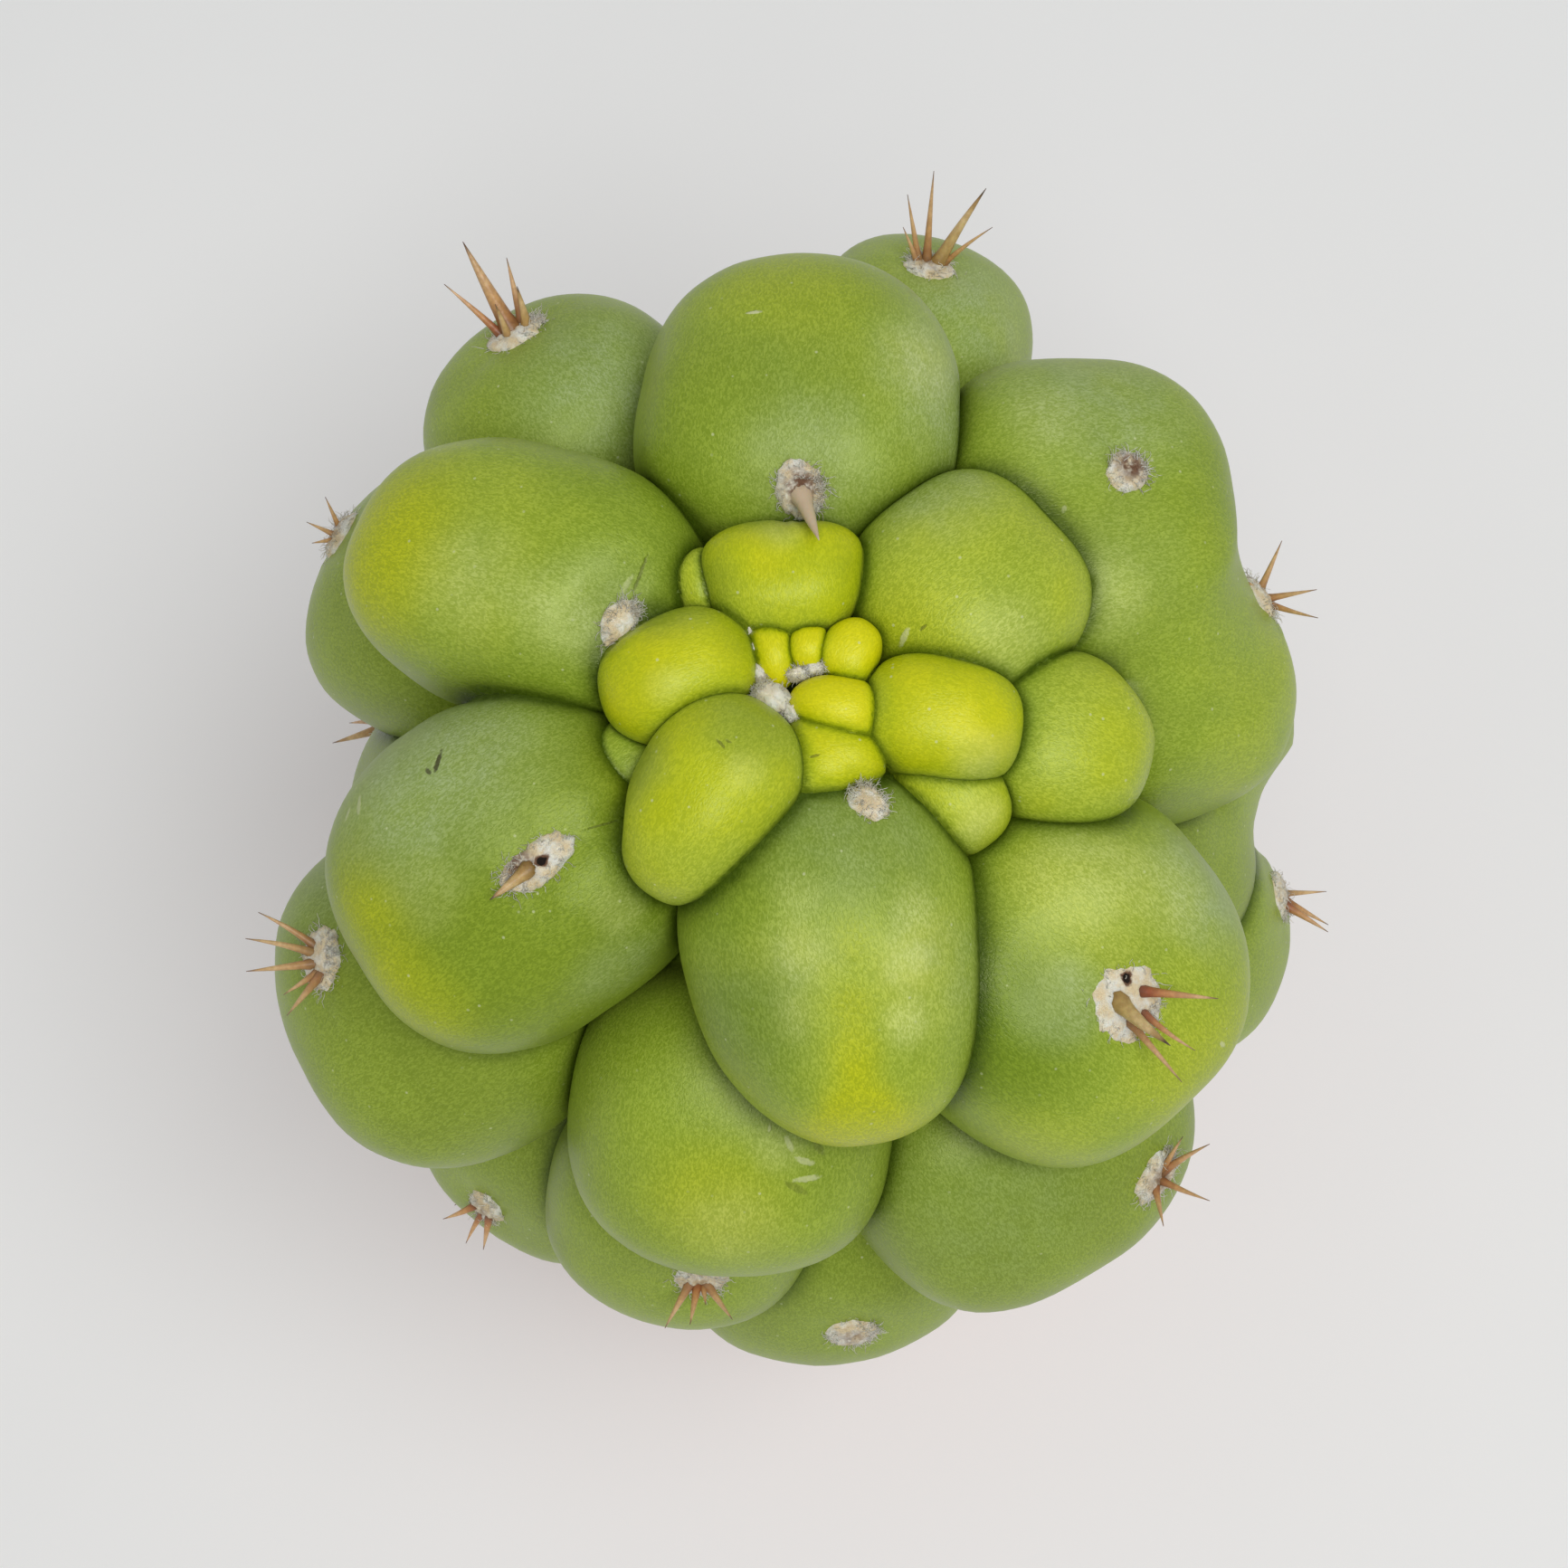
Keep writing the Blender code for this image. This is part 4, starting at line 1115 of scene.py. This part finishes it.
# --- Areoles ---
# Cushions of felt where the spines grow, each in a dimple of the skin. Each is matted wool with loose curled hairs
# round its edge and stiff horny spines rooted in it, red brown at the root, amber along the blade and dark at the tip.

PAD_SUNK = 0.4 * MM
PAD_HALF_THICKNESS = 1.7 * MM
HAIR_COUNT = 150
HAIR_RADIUS = 0.055 * MM
HAIR_STEPS = 5
SPINE_STATIONS = 12
SPINE_SIDES = 9
SPINE_ROOTED = 0.12
SPINE_TIP_RADIUS = 0.035 * MM
FAN_SPREAD = 105

# How one cushion lies: half length and width in millimetres, the way its length runs, how brown its middle is and
# where that middle lies, the way its fringe of hair is combed, and where it has a shallow hole with painted shade in
# it.
Cushion = namedtuple("Cushion", "long wide heading brown brown_at combed hole")
# One spine: its bearing and rise in degrees, its length seen from above, its thickness at the root, where it is
# rooted on the cushion, how red its root is, and how dry and papery it has gone.
Spine = namedtuple("Spine", "bearing rise plan base root red papery", defaults=(0.0,))

CUSHIONS = {
    "crown_north": (3.1, 2.5, 95, 0.95, (0.2, 0.7), 10, None),
    "crown_north_west": (2.6, 1.7, 60, 0.20, (-0.5, -1.4), 50, None),
    "crown_west": (4.3, 2.1, 34, 0.90, (-1.4, -0.1), 200, (0.75, 0.3)),
    "crown_south": (2.2, 1.8, 120, 0.10, (-0.2, 0.0), 90, None),
    "crown_east": (2.5, 2.3, 40, 0.90, (0.2, 0.5), 20, None),
    "crown_south_east": (4.8, 4.3, 110, 0.10, (1.0, -1.5), -20, (-0.5, 2.4)),
    "crown_far_east": (3.0, 2.7, 90, 0.35, (0.5, 0.0), 0, None),
    "shoulder_1": (3.0, 2.6, 0, 0.55, (0.0, 0.0), 100, None),
    "shoulder_3": (3.6, 3.0, 0, 0.20, (0.0, 0.0), 20, None),
    "shoulder_4": (3.0, 2.6, 90, 0.50, (0.0, 0.0), 150, None),
    "shoulder_6": (3.5, 2.9, 90, 0.20, (0.0, 0.0), 0, None),
    "shoulder_8": (3.3, 2.8, 60, 0.60, (0.0, 0.0), 60, None),
    "flank_6": (3.1, 2.8, 0, 0.40, (0.0, 0.0), 80, None),
    "flank_7": (3.1, 2.8, 0, 0.50, (0.0, 0.0), 0, None),
}
PLAIN_CUSHION = (2.9, 2.6, None, 0.45, (0.0, 0.0), None, None)
SPINES = {
    "crown_north": ((-76, 44, 6.9, 2.1, (0.1, -0.3), 0.35, 5.0),),
    "crown_west": ((-138, 14, 4.6, 1.7, (-0.7, -0.6), 0.20),),
    "crown_south_east": (
        (-48, 30, 6.6, 2.1, (-1.0, 0.2), 0.05),
        (-11, 28, 7.3, 1.25, (1.2, 1.1), 1.0),
        (-43, 25, 6.4, 0.95, (1.9, -1.0), 0.95),
        (-53, 16, 8.1, 1.05, (0.3, -1.8), 0.6),
    ),
    "crown_far_east": (
        (66, 40, 4.8, 1.0, (0.3, 0.8), 0.5),
        (0, 35, 5.0, 1.0, (0.8, 0.0), 0.6),
        (-30, 35, 5.4, 0.9, (0.6, -0.8), 0.6),
        (170, 60, 1.6, 0.8, (-0.5, 0.3), 0.5),
    ),
    "shoulder_1": (
        (104, 42, 5.7, 0.9, (-1.3, 0.4), 0.5),
        (86, 45, 7.4, 1.1, (-0.4, 0.5), 0.6),
        (51, 38, 8.0, 1.7, (0.7, 0.2), 0.1),
        (28, 35, 5.9, 0.8, (1.3, 0.2), 0.5),
        (122, 50, 3.0, 0.8, (-1.6, 0.0), 0.6),
    ),
    "shoulder_3": (
        (122, 32, 9.2, 2.3, (-0.3, 0.2), 0.62),
        (143, 26, 7.4, 1.1, (-1.6, 0.1), 0.9),
        (104, 34, 6.1, 1.2, (0.8, 0.9), 0.7),
        (105, 50, 3.1, 1.3, (1.7, 0.0), 0.2),
        (116, 55, 2.6, 1.1, (-0.3, -1.2), 0.25),
    ),
    "shoulder_4": (
        (162, 30, 3.2, 0.8, (-0.6, 0.0), 0.5),
        (115, 35, 3.3, 0.8, (0.0, 0.6), 0.5),
        (200, 30, 2.4, 0.7, (-0.4, -0.7), 0.5),
    ),
    "shoulder_6": (
        (151, 24, 6.3, 1.0, (-0.8, 1.4), 0.6),
        (172, 30, 6.6, 1.1, (-1.0, 0.6), 0.4),
        (192, 26, 6.7, 1.2, (-0.9, -0.4), 0.5),
        (222, 32, 4.2, 1.0, (-0.3, -1.3), 0.6),
        (240, 34, 5.6, 1.2, (0.2, -1.6), 0.7),
    ),
    "shoulder_8": (
        (29, 40, 5.1, 1.1, (0.5, 0.6), 0.7),
        (-28, 30, 5.4, 1.0, (0.6, -0.4), 0.7),
        (-84, 30, 4.5, 1.0, (0.0, -1.0), 0.7),
        (60, 45, 3.6, 0.9, (0.2, 1.0), 0.6),
    ),
    "flank_6": (
        (-118, 20, 5.7, 1.2, (-0.9, -0.3), 0.7),
        (-99, 25, 4.6, 1.2, (-0.2, -0.6), 0.8),
        (-55, 22, 4.9, 1.2, (0.8, -0.4), 0.6),
        (-80, 40, 2.4, 0.9, (0.3, -0.8), 0.7),
    ),
}
# Spines set out by a rule: how many fan out, and the length of the longest in millimetres.
RULE_SPINES = {
    "flank_1": (4, 8.0),
    "flank_2": (4, 8.5),
    "flank_3": (4, 8.0),
    "flank_4": (5, 8.5),
    "flank_5": (3, 5.5),
    "flank_8": (4, 7.0),
    "flank_9": (3, 7.0),
    "flank_10": (4, 8.0),
    "flank_11": (4, 8.0),
    "skirt_2": (3, 6.5),
    "skirt_4": (4, 6.5),
    "skirt_6": (3, 6.5),
    "skirt_8": (4, 6.5),
}
WOOL_CREAM = (0.88, 0.73, 0.47)
WOOL_WHITE = (0.97, 0.94, 0.82)
WOOL_BROWN = (0.20, 0.105, 0.062)
WOOL_SHADE = (0.022, 0.015, 0.011)
WOOL_GAP = (0.40, 0.29, 0.18)
PAPERY = (0.68, 0.54, 0.38)
# Colours along a spine from its root to its tip.
AMBER_BLADE = (
    (0.00, (0.30, 0.185, 0.045)),
    (0.20, (0.50, 0.360, 0.120)),
    (0.60, (0.68, 0.520, 0.260)),
    (0.80, (0.42, 0.265, 0.095)),
    (0.92, (0.075, 0.046, 0.020)),
)
RUSSET_BLADE = (
    (0.00, (0.110, 0.028, 0.010)),
    (0.16, (0.34, 0.085, 0.028)),
    (0.38, (0.58, 0.270, 0.100)),
    (0.85, (0.72, 0.480, 0.270)),
    (0.97, (0.130, 0.070, 0.035)),
)


def matted_wool():
    material, tree, shader = new_material("matted_wool")
    place = object_place(tree)
    brown_and_hole_shade, loose, _, _ = channels(tree, "tone")
    colour = blend(tree, mottle(tree, place, 700.0, 0.36, 0.66), WOOL_CREAM, WOOL_WHITE)
    colour = blend(tree, times(tree, loose, 0.7), colour, WOOL_WHITE)
    patchy = times(tree, brown_and_hole_shade, mottle(tree, place, 1300.0, 0.20, 0.60))
    colour = blend(tree, level(tree, patchy, 0.0, 0.9), colour, WOOL_BROWN)
    strands = noise_node(tree, place, 5200.0, 4.0, Distortion=2.5).outputs["Fac"]
    gaps = level(tree, strands, 0.46, 0.34)
    tight = math_node(tree, "SUBTRACT", 1.0, loose, clamp=True)
    colour = blend(tree, times(tree, times(tree, gaps, tight), 0.35), colour, WOOL_GAP)
    # Painted shade in a cushion's hole, where the tone runs past 1.2.
    colour = blend(tree, level(tree, brown_and_hole_shade, 1.2, 1.8), colour, WOOL_SHADE)
    fill(tree, shader, {
        "Base Color": colour,
        "Roughness": 0.90,
        "Specular IOR Level": 0.20,
        "Subsurface Weight": 0.45,
        "Subsurface Radius": (1.0, 0.9, 0.8),
        "Subsurface Scale": 0.4 * MM,
        "Normal": bump(tree, strands, 0.22 * MM, 0.9),
    })
    return material


def horny_spine():
    material, tree, shader = new_material("horny_spine")
    along, red, varied, _ = channels(tree, "tone")
    colour = blend(tree, red, ramp(tree, along, AMBER_BLADE), ramp(tree, along, RUSSET_BLADE))
    streaked = mapped(tree, object_place(tree), (1900.0, 1900.0, 1900.0))
    streaks = mottle(tree, streaked, 1.0, 0.35, 0.65)
    darker = tinted(tree, colour, (0.62, 0.52, 0.44))
    colour = blend(tree, times(tree, streaks, 0.5), colour, darker)
    colour = blend(tree, times(tree, varied, 0.15, clamp=True), colour, PAPERY)
    fill(tree, shader, {
        "Base Color": colour,
        "Roughness": 0.42,
        "Subsurface Weight": 0.22,
        "Subsurface Radius": (1.0, 0.45, 0.18),
        "Subsurface Scale": 0.6 * MM,
        "Normal": bump(tree, streaks, 0.03 * MM, 0.6),
    })
    return material


def outward_frame(place, normal):
    """Axes on the skin: Z out of it, X along it and away from the plant's axis."""
    away = Vector((place.x - PLANT_AXIS[0], place.y - PLANT_AXIS[1], 0.0))
    along = (away - normal * away.dot(normal)).normalized()
    framed = Matrix((along, normal.cross(along), normal)).transposed().to_4x4()
    framed.translation = place
    return framed


def sweep(solid, layer, path, radii, sides, tones, material_index):
    """Skin a path with rings of the given radii, closed at both ends, with a tone at every ring."""
    rings = []
    for index, (middle, radius) in enumerate(zip(path, radii)):
        ahead = (path[min(index + 1, len(path) - 1)] - path[max(index - 1, 0)]).normalized()
        side = ahead.orthogonal().normalized()
        if rings:
            side = (last_side - ahead * last_side.dot(ahead)).normalized()
        last_side = side
        other = ahead.cross(side)
        ring = []
        for step in range(sides):
            angle = math.tau * step / sides
            vertex = solid.verts.new(middle + (side * math.cos(angle) + other * math.sin(angle)) * radius)
            vertex[layer] = tones[index]
            ring.append(vertex)
        rings.append(ring)
    faces = [solid.faces.new(rings[0][::-1]), solid.faces.new(rings[-1])]
    for low, high in zip(rings, rings[1:]):
        for step in range(sides):
            after = (step + 1) % sides
            faces.append(solid.faces.new((low[step], low[after], high[after], high[step])))
    for face in faces:
        face.smooth = True
        face.material_index = material_index


def grow_spine(solid, layer, root, direction, length, base, red, chance, papery=0.0):
    """A stiff awl, swollen at its root, slightly bowed, ending in a needle point."""
    bow = direction.cross(Vector((chance.uniform(-1, 1), chance.uniform(-1, 1), 0.3))).normalized()
    bow_depth = length * chance.uniform(-0.035, 0.035)
    path, radii, tones = [], [], []
    varied = chance.random() + papery
    for station in range(SPINE_STATIONS + 1):
        share = station / SPINE_STATIONS
        along = share * (1 + SPINE_ROOTED) - SPINE_ROOTED
        path.append(root + direction * (length * along) + bow * (bow_depth * math.sin(math.pi * share)))
        swell = 1.0 + 0.28 * math.exp(-((share - 0.10) / 0.10) ** 2)
        radii.append(max(base / 2 * (1 - share) ** 0.80 * swell, SPINE_TIP_RADIUS))
        tones.append((max(0.0, along), red, varied, 1.0))
    sweep(solid, layer, path, radii, SPINE_SIDES, tones, 1)


def grow_hairs(solid, layer, frame_out, half_sizes, combed, count, chance, reach=1.0):
    """Loose curled hairs, most of them round the cushion's edge and on the side that the fringe is combed to."""
    for _ in range(count):
        angle = chance.uniform(0, math.tau)
        if chance.random() < 0.45:
            angle = math.radians(combed) + chance.gauss(0, 0.55)
        share = chance.uniform(0.25, 1.0) ** 0.5
        x = half_sizes[0] * share * math.cos(angle)
        y = half_sizes[1] * share * math.sin(angle)
        lift = PAD_HALF_THICKNESS * math.sqrt(max(0.0, 1 - share ** 2)) * 0.9
        heading_out = Vector((math.cos(angle), math.sin(angle), chance.uniform(0.05, 0.9))).normalized()
        length = reach * chance.uniform(0.5, 1.6) * MM * (0.6 + 0.6 * share)
        position = Vector((x, y, lift))
        path = [position.copy()]
        for _ in range(HAIR_STEPS):
            jitter = Vector((chance.gauss(0, 0.5), chance.gauss(0, 0.5), chance.gauss(-0.10, 0.35)))
            heading_out = (heading_out + jitter).normalized()
            position = position + heading_out * (length / HAIR_STEPS)
            position.z = max(position.z, -0.3 * MM)
            path.append(position.copy())
        tone = (chance.choice((0.0, 0.0, 0.10, 0.45)), 1.0, 0.0, 1.0)
        radii = [HAIR_RADIUS * (1 - 0.12 * step) for step in range(HAIR_STEPS + 1)]
        sweep(solid, layer, [frame_out @ point for point in path], radii, 3, [tone] * len(path), 0)


def felt_cushion(solid, layer, frame_out, cushion, heading, seed):
    """A lumpy cushion with ragged edges, brown round one spot, and with a shallow hole at another painted dark as
    shade.
    """
    made = bmesh.ops.create_uvsphere(solid, u_segments=40, v_segments=20, radius=1.0)["verts"]
    brown_x, brown_y = cushion.brown_at
    turn = Matrix.Rotation(-heading, 2)
    for vertex in made:
        x, y, z = vertex.co
        spot = Vector((x, y, z)) * 2.2 + Vector((seed, 0.0, 0.0))
        ragged = 1 + 0.16 * noise.noise(spot) + 0.10 * noise.noise(spot * 3.1)
        vertex.co = (cushion.long * x * ragged, cushion.wide * y * ragged, z * PAD_HALF_THICKNESS / MM)
        vertex.co.z *= 0.92 + 0.22 * noise.noise(spot * 2.3) + 0.10 * noise.noise(spot * 5.0)
        middle = turn @ Vector((brown_x, brown_y))
        spread = math.hypot(vertex.co.x - middle.x, vertex.co.y - middle.y) / cushion.wide
        brown_and_hole_shade = cushion.brown * max(0.0, 1.25 - 1.1 * spread)
        if z > 0:
            vertex.co.z -= 0.45 * max(0.0, 1 - spread / 0.7) * cushion.brown
        # The hole: a shallow dent with painted shade, a tone past 1.2 that turns the wool almost black.
        if cushion.hole and z > 0:
            hole = turn @ Vector(cushion.hole)
            into = max(0.0, 1 - math.hypot(vertex.co.x - hole.x, vertex.co.y - hole.y) / 0.75)
            vertex.co.z -= 0.35 * min(1.0, 2 * into)
            brown_and_hole_shade = max(brown_and_hole_shade, 2.6 * min(1.0, 1.6 * into))
        if z < -0.2:
            brown_and_hole_shade = max(brown_and_hole_shade, 0.8)
        vertex[layer] = (brown_and_hole_shade, 0.0, 0.0, 1.0)
    bmesh.ops.transform(solid, matrix=frame_out @ Matrix.Scale(MM, 4), verts=made)
    for face in {face for vertex in made for face in vertex.link_faces}:
        face.smooth = True


wool_material = matted_wool()
spine_material = horny_spine()
for number, (name, (place, normal)) in enumerate(seats.items()):
    chance = random.Random(100 + number)
    hit, _, _, _ = stem_surface.ray_cast(place + normal * 6 * MM, -normal)
    place = (hit or place) - normal * PAD_SUNK
    outward = outward_frame(place, normal)
    cushion = Cushion(*CUSHIONS.get(name, PLAIN_CUSHION))
    heading = 0.0
    if cushion.heading is not None:
        long_way = outward.to_3x3().inverted() @ Vector(aimed(cushion.heading, 0))
        heading = math.atan2(long_way.y, long_way.x)
    lying = outward @ Matrix.Rotation(heading, 4, "Z")
    areole = bmesh.new()
    tone_layer = areole.verts.layers.float_color.new("tone")
    plan_heading = cushion.heading or 0.0
    felt_cushion(areole, tone_layer, lying, cushion, math.radians(plan_heading), number * 7.3)
    half_sizes = (cushion.long * MM, cushion.wide * MM)
    combed = (cushion.combed or 0.0) - plan_heading
    grow_hairs(areole, tone_layer, lying, half_sizes, combed, HAIR_COUNT, chance)
    for row in SPINES.get(name, ()):
        spine = Spine(*row)
        direction = Vector(aimed(spine.bearing, spine.rise))
        root = Vector((*spine.root, 0.0)) * MM
        root = place + root - normal * root.dot(normal) + normal * PAD_HALF_THICKNESS * 0.55
        length = spine.plan * MM / math.cos(math.radians(spine.rise))
        grow_spine(areole, tone_layer, root, direction, length, spine.base * MM, spine.red, chance, spine.papery)
    count, reach = RULE_SPINES.get(name, (0, 0.0))
    for index in range(count):
        share = (index + 0.5) / count - 0.5
        fan = math.radians(FAN_SPREAD * share + chance.uniform(-8, 8))
        lean = math.radians(50 + chance.uniform(-10, 10))
        direction = Vector((math.sin(lean) * math.cos(fan), math.sin(lean) * math.sin(fan), math.cos(lean)))
        root = outward @ (Vector((math.cos(fan), 1.6 * math.sin(fan), 0.0)) * MM) + normal * PAD_HALF_THICKNESS * 0.5
        length = reach * MM * (1 - 0.35 * abs(share) - chance.uniform(0, 0.15))
        base = chance.uniform(0.9, 1.5) * MM
        direction = outward.to_3x3() @ direction
        grow_spine(areole, tone_layer, root, direction, length, base, chance.uniform(0.1, 0.9), chance)
    materials = [wool_material, spine_material]
    add_piece(f"felt_and_spines_{name}", areole, materials, [f"areole_{name}"])

# --- Apex wool ---
# White wool matted between the youngest knobs at the crown, where the next ones will grow. It holds on by its own
# fibres, caught in the creases.

# Tufts of wool: place across the crown and drop in millimetres, half sizes, and the way the long side runs.
TUFTS = (
    (-2.1, -0.2, 6.0, 2.1, 1.5, 2.0, 150),
    (-0.3, -1.5, 6.2, 0.9, 1.2, 1.7, 20),
    (-3.4, 2.4, 6.8, 0.8, 1.3, 1.9, 20),
    (-3.9, 4.6, 7.0, 0.6, 1.6, 1.9, 12),
    (-4.3, 6.9, 7.2, 0.6, 1.2, 1.9, 0),
    (0.3, 2.2, 5.9, 1.2, 0.7, 1.6, 8),
    (2.0, 2.7, 5.9, 1.2, 0.6, 1.6, 12),
    (3.8, 3.2, 6.4, 0.9, 0.5, 1.4, 20),
    (-1.0, -11.6, 8.6, 1.1, 0.9, 1.5, 40),
    (-17.4, -3.4, 12.4, 0.9, 1.4, 2.4, 40),
    (-17.6, -11.0, 13.0, 0.8, 1.2, 2.2, 20),
)
TUFT_HAIRS = 90
TUFT_HAIR_REACH = 0.55

tufts = bmesh.new()
tone_layer = tufts.verts.layers.float_color.new("tone")
for number, (x, y, drop, half_long, half_wide, half_deep, heading) in enumerate(TUFTS):
    chance = random.Random(300 + number)
    middle = Vector((PLANT_AXIS[0] + x * MM, PLANT_AXIS[1] + y * MM, CROWN_Z - drop * MM))
    lying = Matrix.Translation(middle) @ Matrix.Rotation(math.radians(heading), 4, "Z")
    made = bmesh.ops.create_uvsphere(tufts, u_segments=20, v_segments=12, radius=1.0)["verts"]
    for vertex in made:
        spot = vertex.co * 2.5 + Vector((number * 5.1, 0.0, 0.0))
        vertex.co *= 1 + 0.25 * noise.noise(spot) + 0.12 * noise.noise(spot * 2.7)
        vertex.co.x *= half_long * MM
        vertex.co.y *= half_wide * MM
        vertex.co.z *= half_deep * MM
        vertex[tone_layer] = (0.0, 0.7, 0.0, 1.0)
    bmesh.ops.transform(tufts, matrix=lying, verts=made)
    on_top = lying @ Matrix.Translation((0, 0, (half_deep - 1.6) * MM))
    grow_hairs(tufts, tone_layer, on_top, (half_long * MM, half_wide * MM), 0, TUFT_HAIRS, chance, TUFT_HAIR_REACH)
for face in tufts.faces:
    face.smooth = True
add_piece("apex_tufts", tufts, [wool_material], ["apex_wool"])

# --- Floor, light and camera ---
# A pale floor under the pot, a bright soft sky all round, one large soft lamp overhead, and a camera that looks almost
# straight down on the crown.

CAMERA_AIM = (-2.7 * MM, -2.0 * MM, CROWN_Z - 43.0 * MM)
CAMERA_DISTANCE = 350.0 * MM
CAMERA_HEIGHT_ANGLE = 77.0
CAMERA_LENS = 75.0
FLOOR_HALF_SIZE = 3.0
FLOOR_GREY = (0.90, 0.90, 0.89)
FLOOR_WHITE = (0.92, 0.92, 0.91)
SKY_STRENGTH = 0.42
LAMP_ENERGY = 9.2
LAMP_PLACE = (0.20, -0.28, 1.35)


def pale_floor():
    material, tree, shader = new_material("pale_floor")
    cloudy = mottle(tree, object_place(tree), 6.0, 0.35, 0.65)
    fill(tree, shader, {"Base Color": blend(tree, cloudy, FLOOR_GREY, FLOOR_WHITE), "Roughness": 0.75})
    return material


floor = bmesh.new()
bmesh.ops.create_grid(floor, x_segments=8, y_segments=8, size=FLOOR_HALF_SIZE)
meshed("floor", floor, [pale_floor()])

world = bpy.data.worlds.new("soft_sky")
world.use_nodes = True
sky = {"Color": (0.97, 0.985, 1.0, 1.0), "Strength": SKY_STRENGTH}
fill(world.node_tree, world.node_tree.nodes["Background"], sky)
bpy.context.scene.world = world

lamp = bpy.data.lights.new("softbox", "AREA")
lamp.shape = "RECTANGLE"
lamp.size = 0.75
lamp.size_y = 0.50
lamp.energy = LAMP_ENERGY
lamp_object = placed("softbox", lamp)
lamp_object.location = LAMP_PLACE
lamp_object.rotation_euler = (Vector(CAMERA_AIM) - lamp_object.location).to_track_quat("-Z", "Y").to_euler()

camera = bpy.data.cameras.new("camera")
camera.lens = CAMERA_LENS
camera.sensor_width = 36.0
camera_object = placed("camera", camera)
height_angle = math.radians(CAMERA_HEIGHT_ANGLE)
back_off = Vector((0.0, -math.cos(height_angle), math.sin(height_angle))) * CAMERA_DISTANCE
camera_object.location = Vector(CAMERA_AIM) + back_off
camera_object.rotation_euler = (math.pi / 2 - height_angle, 0.0, 0.0)
bpy.context.scene.camera = camera_object
bpy.context.scene.view_settings.view_transform = "Standard"
